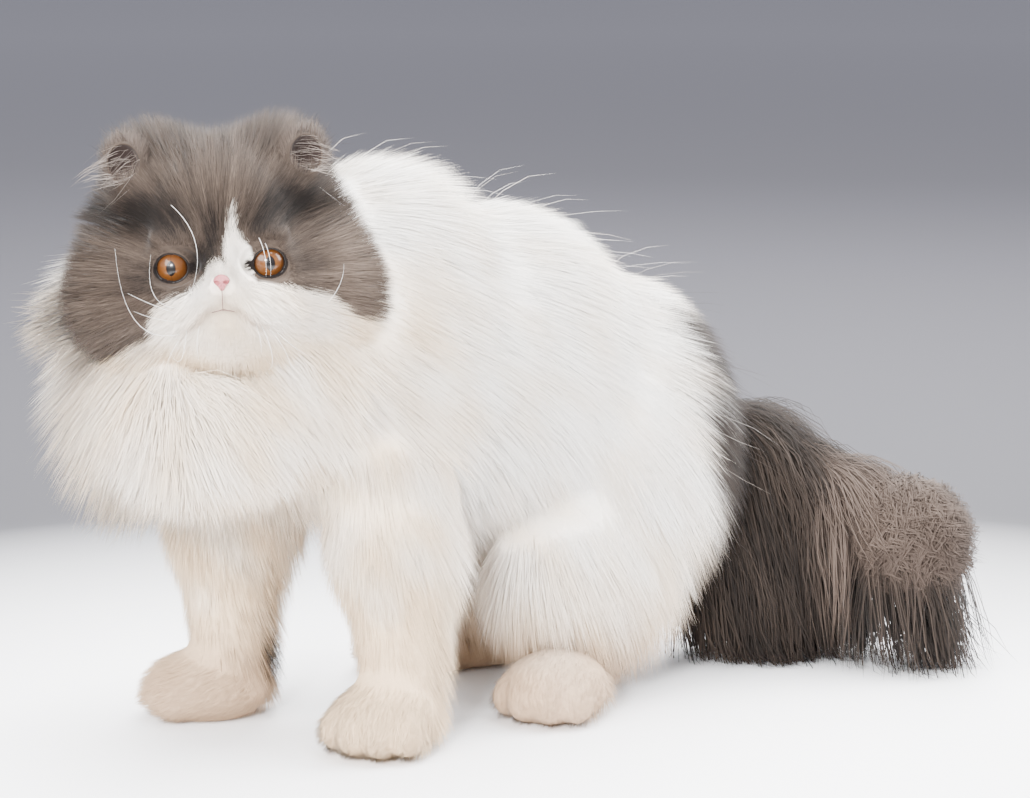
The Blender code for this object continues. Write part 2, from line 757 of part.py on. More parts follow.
def make_forelegs(forms):
    """The forepaws, and the feathered legs over them."""
    parts = []
    for side, sign in SIDES:
        form, paw = forms[f"leg_front_{side}"], forms[f"paw_front_{side}"]
        wrist, place, turned = FORE_STANCE[side]
        _, at, turn = paw_form(place, turned, sign)
        foot = Part(f"paw_front_{side}", "white_coat")
        foot.core(paw, at, 18, 9, frame=turn @ Matrix.Rotation(math.radians(-90), 3, "X"))
        leg = Part(f"leg_front_{side}", "white_coat")
        elbow = form.masses[1][1][0]
        leg.core(form, elbow, 10, 10, frame=Matrix.Rotation(math.radians(90), 3, "X"))
        others = [forms["neck"], forms["torso"], paw]
        roots = roots_over(form, elbow, FORELEG_LOCK.count, (1.0, 1.0, 2.2))
        leg.coat(form, roots, LEG_LIE, FORELEG_LOCK, others)
        parts += [foot, leg]
    return parts


def make_hind_legs(forms):
    """The long hind feet, and the haunches over them."""
    parts = []
    for side, sign in SIDES:
        place, turned = HIND_STANCE[side]
        paw, at, turn = paw_form(place, turned, sign, HEEL_LENGTH)
        foot = Part(f"paw_hind_{side}", "white_coat")
        foot.core(paw, at + turn @ Vector((0.0, 0.012, 0.0)), 14, 10)
        leg = Part(f"leg_hind_{side}", "white_coat")
        form, ((x, y, z), _) = forms[f"leg_hind_{side}"], THIGH
        centre = (x * sign, y, z)
        leg.core(form, centre, 14, 10)
        roots = roots_over(form, centre, HAUNCH_LOCK.count)
        leg.coat(form, roots, HAUNCH_LIE, HAUNCH_LOCK, [forms["torso"], paw])
        parts += [foot, leg]
    return parts


def make_tail(forms):
    """The root with its long hanging hair, and the woolly brush of rounded clumps with locks below it."""
    root, brush = Part("tail_root", "grey_coat"), Part("tail_brush", "grey_coat")
    form = forms["tail_root"]
    root.core(form, TAIL_POINTS[1], 12, 8)
    others = [forms[name] for name in ("torso", "leg_hind_left", "tail_brush")]
    root.coat(form, roots_over(form, TAIL_POINTS[1], TAIL_LOCK.count), TAIL_LIE, TAIL_LOCK, others)
    form, centre = forms["tail_brush"], TAIL_POINTS[3]
    brush.core(form, centre, 12, 8)
    rng = np.random.default_rng(SEED)
    for place in roots_over(form, centre, CLUMP_COUNT):
        over_root = float(forms["tail_root"].height(place)[0])
        if over_root < CLUMP_RADIUS * 0.6 or place.z < centre[2] - CLUMPS_BELOW_MIDDLE:
            continue
        size = [CLUMP_RADIUS * rng.uniform(0.8, 1.2)] * 3
        brush.both(lambda grow: ball(place, [r + grow for r in size], 6, 4))

    def below(place):
        """Whether a place is under the tail's middle line."""
        return place.z < centre[2]

    roots = roots_over(form, centre, BRUSH_LOCK.count)
    brush.coat(form, roots, BRUSH_LIE, BRUSH_LOCK, [forms["tail_root"]], below)
    return [root, brush]


def all_forms():
    """Every flesh form by its part's name, so that locks can be bent clear of their neighbours."""
    forms = {"head": head_form(), "neck": neck_form(), "torso": trunk_form()}
    for side, sign in SIDES:
        forms[f"leg_front_{side}"] = foreleg_form(side, sign)
        forms[f"paw_front_{side}"] = paw_form(*FORE_STANCE[side][1:], sign)[0]
        forms[f"leg_hind_{side}"] = haunch_form(sign)
    forms["tail_root"], forms["tail_brush"] = tail_form(0, 2), tail_form(2, 3)
    return forms


def main():
    """Empties the scene and builds the cat from the nose to the tail."""
    for old in list(bpy.data.objects):
        bpy.data.objects.remove(old)
    forms = all_forms()
    face = [*make_eyes(), make_nose(), *make_ears(), make_head(forms)]
    body = [make_neck(forms), make_torso(forms), *make_hind_legs(forms), *make_forelegs(forms)]
    finish([*face, *body, *make_tail(forms)])


main()
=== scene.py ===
"""The looks of a long-haired cat: its skin, coat, eyes, nose and whiskers, in a plain studio.

Metres, +Z up. The cat's body faces -Y and its left side is +X. Sizes are given in the cat's own
design frame, and main moves every mesh from there to where the frame has the cat.
"""

import logging
import math
from dataclasses import dataclass, field
from enum import Enum
from typing import Callable, Optional, Sequence

import bmesh
import bpy
import numpy as np
from mathutils import Euler, Matrix, Vector
from mathutils.kdtree import KDTree


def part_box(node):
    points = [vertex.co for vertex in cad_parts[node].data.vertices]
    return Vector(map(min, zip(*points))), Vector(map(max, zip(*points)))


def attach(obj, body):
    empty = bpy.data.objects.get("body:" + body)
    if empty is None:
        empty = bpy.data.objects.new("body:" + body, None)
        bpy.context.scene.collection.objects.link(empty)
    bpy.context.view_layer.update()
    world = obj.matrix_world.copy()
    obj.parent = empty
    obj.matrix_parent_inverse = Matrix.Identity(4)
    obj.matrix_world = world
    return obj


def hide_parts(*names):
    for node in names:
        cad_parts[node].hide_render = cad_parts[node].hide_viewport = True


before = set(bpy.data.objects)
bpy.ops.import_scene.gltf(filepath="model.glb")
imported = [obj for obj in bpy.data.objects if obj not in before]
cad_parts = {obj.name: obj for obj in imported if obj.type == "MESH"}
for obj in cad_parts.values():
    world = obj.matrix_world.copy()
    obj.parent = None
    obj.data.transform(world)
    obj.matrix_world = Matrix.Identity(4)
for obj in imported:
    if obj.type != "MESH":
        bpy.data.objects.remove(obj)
LOG = logging.getLogger("cat")
SEED = 11
BODY = "root"
SIDES = (("left", 1.0), ("right", -1.0))
SIGNS = (1.0, -1.0)
TINY = 1e-9
UNWRAP = "OFBake"
PAINT = "coat"
Array = np.ndarray


class Slot(Enum):
    """The record's material slots."""

    WHITE = "white_coat"
    GREY = "grey_coat"
    EYE = "eye_amber"
    NOSE = "nose_pink"


def smooth_step(low: float, high: float, value: Array) -> Array:
    """Goes from 0 at low to 1 at high without a corner."""
    share = np.clip((value - low) / (high - low), 0.0, 1.0)
    return share * share * (3.0 - 2.0 * share)


def unit(rows: Array) -> Array:
    """Rows made one long."""
    return rows / np.maximum(np.linalg.norm(rows, axis=-1, keepdims=True), TINY)


def mixed(first: Array, second: Array, share: Array) -> Array:
    """First where the share is 0 and second where it is 1, row by row."""
    return first * (1.0 - share[:, None]) + second * share[:, None]


def blended(first: Array, second: Array, reach: float) -> Array:
    """Smooth union of two distances.

    Args:
        first: Distances to one form.
        second: Distances to the other.
        reach: How far from their crossing the two are faired into each other.

    Returns:
        Distances to the faired union.
    """
    share = np.clip(0.5 + 0.5 * (second - first) / reach, 0.0, 1.0)
    return second + (first - second) * share - reach * share * (1.0 - share)


def turned(degrees: Sequence[float]) -> Matrix:
    """A turn given by its angles about X, Y and Z."""
    return Euler([math.radians(angle) for angle in degrees], "XYZ").to_matrix()


def about_z(degrees: float) -> Matrix:
    """A turn about the vertical."""
    return Matrix.Rotation(math.radians(degrees), 3, "Z")


def shown(name: str, data: bpy.types.ID) -> bpy.types.Object:
    """A new object in the scene."""
    made = bpy.data.objects.new(name, data)
    bpy.context.scene.collection.objects.link(made)
    return made


def rounded(mesh: bpy.types.Mesh) -> None:
    """Shades a mesh smooth."""
    mesh.polygons.foreach_set("use_smooth", np.ones(len(mesh.polygons), bool))


def read(items: Sequence, name: str, wide: int, kind: type = float) -> Array:
    """One value of every item of a mesh, as rows of some width."""
    values = np.empty(len(items) * wide, kind)
    items.foreach_get(name, values)
    return values.reshape(-1, wide)


def neighbour_sum(rows: Array, first: Array, second: Array) -> Array:
    """Adds up, for every vertex, the rows of those that an edge joins it to.

    Args:
        rows: Three values for every vertex.
        first: The vertex at one end of each edge.
        second: The vertex at its other end.

    Returns:
        The sums.
    """
    total = np.zeros_like(rows)
    for axis in range(3):
        total[:, axis] = np.bincount(first, rows[second, axis], len(rows))
        total[:, axis] += np.bincount(second, rows[first, axis], len(rows))
    return total


def paint_vertices(mesh: bpy.types.Mesh, colours: Array) -> None:
    """Writes one linear colour for each vertex."""
    full = np.column_stack((np.clip(colours, 0.0, 1.0), np.ones(len(colours))))
    layer = mesh.color_attributes.new(PAINT, "FLOAT_COLOR", "POINT")
    layer.data.foreach_set("color", full.astype(np.float32).ravel())


@dataclass(frozen=True)
class Mass:
    """An ellipsoid of flesh, or a tapered limb where end is given."""

    centre: tuple
    radii: tuple
    turn: Optional[Matrix] = None
    end: Optional[tuple] = None

    LIMB_STEPS = 8

    def distance(self, points: Array) -> Array:
        """Signed distance, near enough, from points to the mass."""
        if self.end is not None:
            start, along = np.array(self.centre), np.array(self.end) - np.array(self.centre)
            share = np.clip((points - start) @ along / (along @ along), 0.0, 1.0)
            radius = self.radii[0] + (self.radii[1] - self.radii[0]) * share
            return np.linalg.norm(points - start - share[:, None] * along, axis=1) - radius
        local = points - np.array(self.centre)
        if self.turn is not None:
            local = local @ np.array(self.turn)
        scaled = np.linalg.norm(local / self.radii, axis=1)
        slope = np.linalg.norm(local / np.square(self.radii), axis=1)
        return scaled * (scaled - 1.0) / np.maximum(slope, TINY)

    def add_to(self, bm: bmesh.types.BMesh) -> None:
        """Adds the mass as closed balls, for the remeshed base of the skin."""
        if self.end is None:
            turn = (self.turn or Matrix.Identity(3)).to_4x4()
            place = Matrix.Translation(self.centre) @ turn @ Matrix.Diagonal((*self.radii, 1.0))
            bmesh.ops.create_icosphere(bm, subdivisions=4, radius=1.0, matrix=place)
            return
        start, end = Vector(self.centre), Vector(self.end)
        for i in range(self.LIMB_STEPS + 1):
            share = i / self.LIMB_STEPS
            radius = self.radii[0] + (self.radii[1] - self.radii[0]) * share
            place = Matrix.Translation(start.lerp(end, share))
            bmesh.ops.create_icosphere(bm, subdivisions=3, radius=radius, matrix=place)


@dataclass
class Form:
    """Blended masses of one stretch of the body, with what is carved from them."""

    blend: float
    masses: list = field(default_factory=list)
    carved: list = field(default_factory=list)
    carve_blend: float = 0.004

    def distance(self, points: Array) -> Array:
        """Signed distance from points to the form."""
        total = self.masses[0].distance(points)
        for mass in self.masses[1:]:
            total = blended(total, mass.distance(points), self.blend)
        for mass in self.carved:
            total = -blended(-total, mass.distance(points), self.carve_blend)
        return total

    def ball(self) -> tuple[Array, float]:
        """A centre and radius that hold all the masses."""
        ends = [np.array(mass.centre) for mass in self.masses]
        ends += [np.array(mass.end) for mass in self.masses if mass.end is not None]
        centre = np.mean(ends, axis=0)
        reach = max(np.linalg.norm(end - centre) for end in ends)
        return centre, reach + max(max(mass.radii) for mass in self.masses)


@dataclass(frozen=True)
class Head:
    """The head's own frame, midway between the eyes' centres with -Y to the nose, and its features."""

    at: tuple = (0.0078, -0.1804, 0.2745)
    turn: tuple = (-2.0, -2.4, 55.0)
    left_eye_of_solids: tuple = (0.040737, -0.171496, 0.277277)
    blend: float = 0.009
    masses: tuple = (
        ("skull", (0.0, 0.01, 0.008), (0.044, 0.042, 0.042)),
        ("forehead", (0.0, -0.008, 0.026), (0.032, 0.026, 0.021)),
        ("cheek", (0.029, -0.008, -0.016), (0.023, 0.028, 0.024)),
        ("brow", (0.021, -0.025, 0.013), (0.014, 0.008, 0.0055)),
        ("bridge", (0.0, -0.034, -0.003), (0.0105, 0.0095, 0.01)),
        ("pad", (0.0112, -0.035, -0.0165), (0.014, 0.0115, 0.011)),
        ("chin", (0.0, -0.032, -0.032), (0.015, 0.011, 0.009)),
        ("jaw", (0.0, -0.015, -0.033), (0.028, 0.024, 0.015)),
        ("jowl", (0.043, 0.006, -0.015), (0.03, 0.029, 0.03)),
        ("ear base", (0.03, 0.012, 0.034), (0.026, 0.024, 0.022)),
    )
    eye: tuple = (0.0247, -0.0195, 0.0)
    eye_radius: float = 0.0112
    eye_splay: float = 9.0
    socket_radii: tuple = (0.0125, 0.007, 0.0095)
    socket_ahead: float = 0.0125
    lid: float = 0.002
    lid_blend: float = 0.0045
    opening: tuple = (0.0106, 0.012, 0.0089)
    opening_ahead: float = 0.004
    opening_blend: float = 0.0008
    ball_gap: float = 0.0005
    ear: tuple = (0.0475, 0.004, 0.0535)
    ear_radii: tuple = (0.0118, 0.0085, 0.0142)
    ear_turn: tuple = (-6.0, 14.0, 14.0)
    ear_wall: float = 0.0012
    cup_ahead: float = 1.55
    cup_up: float = 0.0015
    cup_deep: float = 2.0
    cup_blend: float = 0.001
    nose: tuple = (0.0, -0.044, -0.0077)
    groove: tuple = ((0.0, -0.049, -0.0105), (0.0, -0.048, -0.0215))
    mouth: tuple = (
        (0.0, -0.0475, -0.0215), (0.006, -0.047, -0.0228), (0.013, -0.0435, -0.0262),
        (0.019, -0.039, -0.031),
    )
    mouth_blend: float = 0.0015
    lip_radii: tuple = (0.0013, 0.0011)
    groove_radii: tuple = (0.0008, 0.001)
    fur_levels: tuple = (-0.07, -0.05, -0.03, -0.008, 0.012, 0.04, 0.076)
    fur_widths: tuple = (0.064, 0.088, 0.096, 0.094, 0.085, 0.071, 0.065)
    fur_top: float = 0.087
    fur_dip: float = 0.009
    fur_dip_width: float = 0.02
    fur_under: float = 0.074
    fur_depth: float = 0.066
    fur_middle: float = 0.01
    fur_longest: float = 0.062
    grey_levels: tuple = (-0.06, -0.046, -0.028, -0.005, 0.012, 0.026, 0.066)
    grey_widths: tuple = (0.068, 0.077, 0.083, 0.082, 0.079, 0.073, 0.067)

    @property
    def frame(self) -> Matrix:
        """The head's frame as a matrix."""
        return Matrix.Translation(self.at) @ turned(self.turn).to_4x4()

    @property
    def axes(self) -> Matrix:
        """The turn of the head alone."""
        return self.frame.to_3x3()

    def place(self, x: float, y: float, z: float) -> Vector:
        """A point of the head's frame in the cat's frame."""
        return self.frame @ Vector((x, y, z))

    def local(self, points: Array) -> Array:
        """Points of the cat's frame in the head's."""
        return (points - np.array(self.at)) @ np.array(self.axes)

    def ways(self, rows: Array) -> Array:
        """Ways of the head's frame in the cat's frame."""
        return rows @ np.array(self.axes).T

    def eye_centre(self, sign: float) -> Vector:
        """The centre of one eyeball."""
        return self.place(self.eye[0] * sign, self.eye[1], self.eye[2])

    def gaze(self, sign: float) -> Matrix:
        """The frame of one eye, -Y the way it looks."""
        return self.axes @ about_z(self.eye_splay * sign)

    def ear_frame(self, sign: float) -> tuple[Vector, Matrix]:
        """The centre and turn of one ear's cup, which opens along its -Y."""
        tilt, lean, splay = self.ear_turn
        centre = self.place(self.ear[0] * sign, self.ear[1], self.ear[2])
        return centre, self.axes @ turned((tilt, lean * sign, splay * sign))

    def ear_mass(self, sign: float) -> Mass:
        """One ear without its hollow."""
        centre, turn = self.ear_frame(sign)
        return Mass(tuple(centre), self.ear_radii, turn)

    def in_ear(self, points: Array, sign: float) -> Array:
        """Points of the cat's frame in the frame of one ear."""
        centre, turn = self.ear_frame(sign)
        return (points - np.array(centre)) @ np.array(turn)

    def in_opening(self, points: Array, share: float) -> Array:
        """True where a place looks through the lids, whose opening is first scaled by share."""
        inside = np.zeros(len(points), bool)
        for sign in SIGNS:
            across = (points - np.array(self.eye_centre(sign))) @ np.array(self.gaze(sign))
            ring = np.hypot(across[:, 0] / self.opening[0], across[:, 2] / self.opening[2])
            inside |= (ring < share) & (across[:, 1] < 0.002)
        return inside

    def skull(self) -> Form:
        """The masses of the head, those off the middle on both sides, with hollows for the eyes."""
        form = Form(self.blend)
        for _, (x, y, z), radii in self.masses:
            for sign in SIGNS if x else SIGNS[:1]:
                form.masses.append(Mass(tuple(self.place(x * sign, y, z)), radii, self.axes))
        x, y, z = self.eye
        for sign in SIGNS:
            socket = tuple(self.place(x * sign, y - self.socket_ahead, z))
            form.carved.append(Mass(socket, self.socket_radii, self.axes))
        return form

    def lids_and_mouth(self, points: Array, total: Array) -> Array:
        """Adds the lids round each eye and presses in the line of the mouth.

        Args:
            points: Places near the face.
            total: Distances to the skull there.

        Returns:
            Distances to the finished face.
        """
        for sign in SIGNS:
            eye = tuple(self.eye_centre(sign))
            lid = Mass(eye, (self.eye_radius + self.lid,) * 3).distance(points)
            total = blended(total, lid, self.lid_blend)
            ahead = self.gaze(sign) @ Vector((0.0, -self.eye_radius - self.opening_ahead, 0.0))
            front = self.eye_centre(sign) + ahead
            hollow = Mass(tuple(front), self.opening, self.gaze(sign)).distance(points)
            total = -blended(-total, hollow, self.opening_blend)
            total = np.minimum(total, Mass(eye, (self.eye_radius - self.ball_gap,) * 3).distance(points))
            line = [tuple(self.place(x * sign, y, z)) for x, y, z in self.mouth]
            for start, end in zip(line, line[1:]):
                lip = Mass(start, self.lip_radii, end=end).distance(points)
                total = -blended(-total, lip, self.mouth_blend)
        top, low = (tuple(self.place(*spot)) for spot in self.groove)
        return -blended(-total, Mass(top, self.groove_radii, end=low).distance(points), self.mouth_blend)

    def mouth_masses(self, radii: tuple[float, float]) -> list[Mass]:
        """Both sides of the mouth's line as thin limbs in the head's own frame."""
        return [
            Mass(tuple(np.array(start) * flip), radii, end=tuple(np.array(end) * flip))
            for start, end in zip(self.mouth, self.mouth[1:])
            for flip in ((sign, 1.0, 1.0) for sign in SIGNS)
        ]

    def from_mouth(self, local: Array) -> Array:
        """Distances from places of the head's frame to the line of the mouth and the groove above it."""
        lines = [Mass(self.groove[0], (0.0, 0.0), end=self.mouth[0]), *self.mouth_masses((0.0, 0.0))]
        return np.min([line.distance(local) for line in lines], axis=0)

    def past_fur(self, local: Array) -> Array:
        """True where a place of the head's frame lies outside the outline of its fur."""
        wide = np.interp(local[:, 2], self.fur_levels, self.fur_widths)
        top = self.fur_top - self.fur_dip * np.exp(-np.square(local[:, 0] / self.fur_dip_width))
        deep = np.abs(local[:, 1] - self.fur_middle) / self.fur_depth
        total = (np.abs(local[:, 0]) / wide) ** 2.8 + deep ** 2.8
        above, below = np.maximum(local[:, 2], 0.0), np.maximum(-local[:, 2], 0.0)
        total += (above / top) ** 8 + (below / self.fur_under) ** 6
        return total > 1.0

    def fur_reach(self, local: Array, way: Array) -> Array:
        """How far hair grows along its way until it meets the outline of the head's fur.

        Args:
            local: Roots in the head's frame.
            way: Where they point, in the cat's frame.

        Returns:
            Lengths.
        """
        ahead = way @ np.array(self.axes)
        reach = np.full(len(local), self.fur_longest)
        for step in np.arange(self.fur_longest, 0.004, -0.003):
            reach[self.past_fur(local + ahead * step)] = step
        return reach

    def ears(self, points: Array) -> Array:
        """Distances to the two thin cups of the ears."""
        total = np.full(len(points), 1.0)
        wide, deep, high = (radius - self.ear_wall for radius in self.ear_radii)
        for sign in SIGNS:
            centre, turn = self.ear_frame(sign)
            cup = centre + turn @ Vector((0.0, -self.ear_radii[1] * self.cup_ahead, self.cup_up))
            hollow = Mass(tuple(cup), (wide, deep * self.cup_deep, high), turn).distance(points)
            outer = self.ear_mass(sign).distance(points)
            total = np.minimum(total, -blended(-outer, hollow, self.cup_blend))
        return total


@dataclass(frozen=True)
class Body:
    """Trunk, neck, legs, paws and tail, in the sizes of the solids."""

    chest: tuple = ((0.0, -0.078, 0.217), (0.073, 0.074, 0.092))
    withers: tuple = ((0.004, -0.085, 0.264), (0.046, 0.058, 0.05))
    ribs: tuple = ((0.0, 0.005, 0.202), (0.075, 0.092, 0.087))
    hips: tuple = ((0.0, 0.09, 0.147), (0.081, 0.084, 0.096))
    thigh: tuple = ((0.042, 0.05, 0.084), (0.037, 0.06, 0.048))
    neck: tuple = ((0.0, -0.105, 0.222), (0.004, -0.15, 0.248))
    neck_radii: tuple = (0.056, 0.042)
    ruff_end: tuple = (-0.004, -0.182, 0.196)
    ruff_radius: float = 0.039
    ruff_side: tuple = ((-0.034, -0.188, 0.206), (0.034, 0.034, 0.046))
    shoulders: tuple = ((0.036, -0.092, 0.158), (-0.044, -0.113, 0.158))
    elbows: tuple = ((0.045, -0.094, 0.112), (-0.066, -0.127, 0.112))
    wrists: tuple = ((0.056, -0.096, 0.044), (-0.054, -0.134, 0.044))
    limb_radii: tuple = (0.034, 0.029, 0.022)
    limb_blend: float = 0.022
    fore_paws: tuple = (((0.062, -0.112), 28.0), ((-0.062, -0.144), 40.0))
    hind_paws: tuple = (((0.07, 0.006), 24.0), ((-0.064, 0.012), 20.0))
    paw_radii: tuple = (0.03, 0.035, 0.021)
    paw_height: float = 0.017
    paw_blend: float = 0.004
    toe_radii: tuple = (0.0088, 0.0125, 0.0115)
    toes: tuple = ((0.0082, 0.0205), (0.0215, 0.013))
    toe_drop: tuple = (0.003, 0.0035)
    heel: tuple = (-0.012, 0.085, 0.004)
    heel_radii: tuple = (0.02, 0.017)
    tail: tuple = ((0.0, 0.15, 0.15), (0.032, 0.196, 0.132), (0.084, 0.226, 0.104), (0.128, 0.244, 0.082))
    tail_radii: tuple = (0.022, 0.02, 0.017, 0.018)
    tail_ball: tuple = ((0.117, 0.245, 0.082), (0.034, 0.032, 0.032))
    tail_fall: tuple = ((0.04, 0.192, 0.078), (0.016, 0.052, 0.05))
    tail_way: float = -35.0
    tail_blend: float = 0.012

    def paw(self, spot: tuple, degrees: float, sign: float, hind: bool) -> Form:
        """A paw with four toes, and the long foot behind it on a hind leg.

        Args:
            spot: Where it stands.
            degrees: How far it turns out.
            sign: Its side.
            hind: Whether it is a hind paw.

        Returns:
            The form.
        """
        turn = about_z(degrees * sign)
        at = Vector((*spot, self.paw_height))
        form = Form(self.paw_blend, [Mass(tuple(at), self.paw_radii, turn)])
        back, down = self.toe_drop
        for across, forward in self.toes:
            for flip in SIGNS:
                toe = at + turn @ Vector((across * flip, -forward - back, -down))
                form.masses.append(Mass(tuple(toe), self.toe_radii, turn))
        if hind:
            across, behind, up = self.heel
            heel = at + turn @ Vector((across * sign, behind, up))
            form.masses.append(Mass(tuple(at), self.heel_radii, end=tuple(heel)))
        return form

    def legs(self, i: int, side: str, sign: float) -> dict[str, Form]:
        """The foreleg, paws and haunch of one side, by name."""
        upper, middle, lower = self.limb_radii
        (x, y, z), radii = self.thigh
        arm = Mass(self.shoulders[i], (upper, middle), end=self.elbows[i])
        forearm = Mass(self.elbows[i], (middle, lower), end=self.wrists[i])
        return {
            f"foreleg_{side}": Form(self.limb_blend, [arm, forearm]),
            f"forepaw_{side}": self.paw(*self.fore_paws[i], sign, False),
            f"hindpaw_{side}": self.paw(*self.hind_paws[i], sign, True),
            f"haunch_{side}": Form(self.limb_blend, [Mass((x * sign, y, z), radii)]),
        }

    def forms(self) -> dict[str, Form]:
        """Every stretch of the body by name."""
        trunk = [Mass(*sizes) for sizes in (self.chest, self.withers, self.ribs, self.hips)]
        start, end = self.neck
        throat = Mass(start, (self.neck_radii[1], self.ruff_radius), end=self.ruff_end)
        neck = [Mass(start, self.neck_radii, end=end), throat, Mass(*self.ruff_side)]
        made = {"trunk": Form(self.limb_blend, trunk), "neck": Form(self.limb_blend, neck)}
        for i, (side, sign) in enumerate(SIDES):
            made.update(self.legs(i, side, sign))
        bones = [
            Mass(start, tuple(radii), end=end)
            for start, end, *radii in zip(self.tail, self.tail[1:], self.tail_radii, self.tail_radii[1:])
        ]
        fall = Mass(*self.tail_fall, about_z(self.tail_way))
        made["tail_root"] = Form(self.tail_blend, [*bones[:2], fall])
        made["tail_tip"] = Form(self.tail_blend, [*bones[2:], Mass(*self.tail_ball)])
        return made


class Flesh:
    """All the flesh as one blended distance, measured only where each form is near."""

    SKIN_BLEND = 0.014
    EAR_BLEND = 0.004
    FACE_REACH = 0.11

    def __init__(self, head: Head, body: Body) -> None:
        """Gathers the forms of head and body."""
        self.head = head
        self.forms: dict[str, Form] = {"head": head.skull(), **body.forms()}
        self.reach = {name: form.ball() for name, form in self.forms.items()}
        self.names = list(self.forms)

    def part_distances(self, points: Array, margin: float = 0.07) -> Array:
        """Distances to each form, one column each, and far ones as 1."""
        table = np.ones((len(points), len(self.names)))
        for column, name in enumerate(self.names):
            centre, radius = self.reach[name]
            close = np.linalg.norm(points - centre, axis=1) < radius + margin
            if close.any():
                table[close, column] = self.forms[name].distance(points[close])
        return table

    def nearest(self, points: Array) -> Array:
        """The number of the form that each point belongs to."""
        return self.part_distances(points).argmin(axis=1)

    def distance(self, points: Array) -> Array:
        """Distances to the whole skin."""
        table = self.part_distances(points)
        total = table[:, 0]
        for column in range(1, table.shape[1]):
            total = blended(total, table[:, column], self.SKIN_BLEND)
        near_face = np.linalg.norm(points - np.array(self.head.at), axis=1) < self.FACE_REACH
        if near_face.any():
            close = points[near_face]
            face = self.head.lids_and_mouth(close, total[near_face])
            total[near_face] = blended(face, self.head.ears(close), self.EAR_BLEND)
        return np.maximum(total, -points[:, 2])

    def slope(self, points: Array, values: Array, step: float = 0.0004) -> Array:
        """The outward way at points whose distances are values."""
        columns = [self.distance(points + np.eye(3)[axis] * step) - values for axis in range(3)]
        return unit(np.column_stack(columns))


def linear(red: float, green: float, blue: float) -> Array:
    """A colour seen as 0 to 255 made linear."""
    share = np.array((red, green, blue)) / 255.0
    return np.where(share <= 0.04045, share / 12.92, ((share + 0.055) / 1.055) ** 2.4)


def ripple(points: Array, size: float, seed: int = 0) -> Array:
    """Smooth noise from -1 to 1 with waves about size across."""
    rng = np.random.default_rng(100 + seed)
    total = np.zeros(len(points))
    for _ in range(6):
        wave = unit(rng.normal(size=3)) * (2.0 * math.pi / size) * rng.uniform(0.6, 1.5)
        total += np.sin(points @ wave + rng.uniform(0.0, 2.0 * math.pi))
    return np.clip(total / 3.0, -1.0, 1.0)


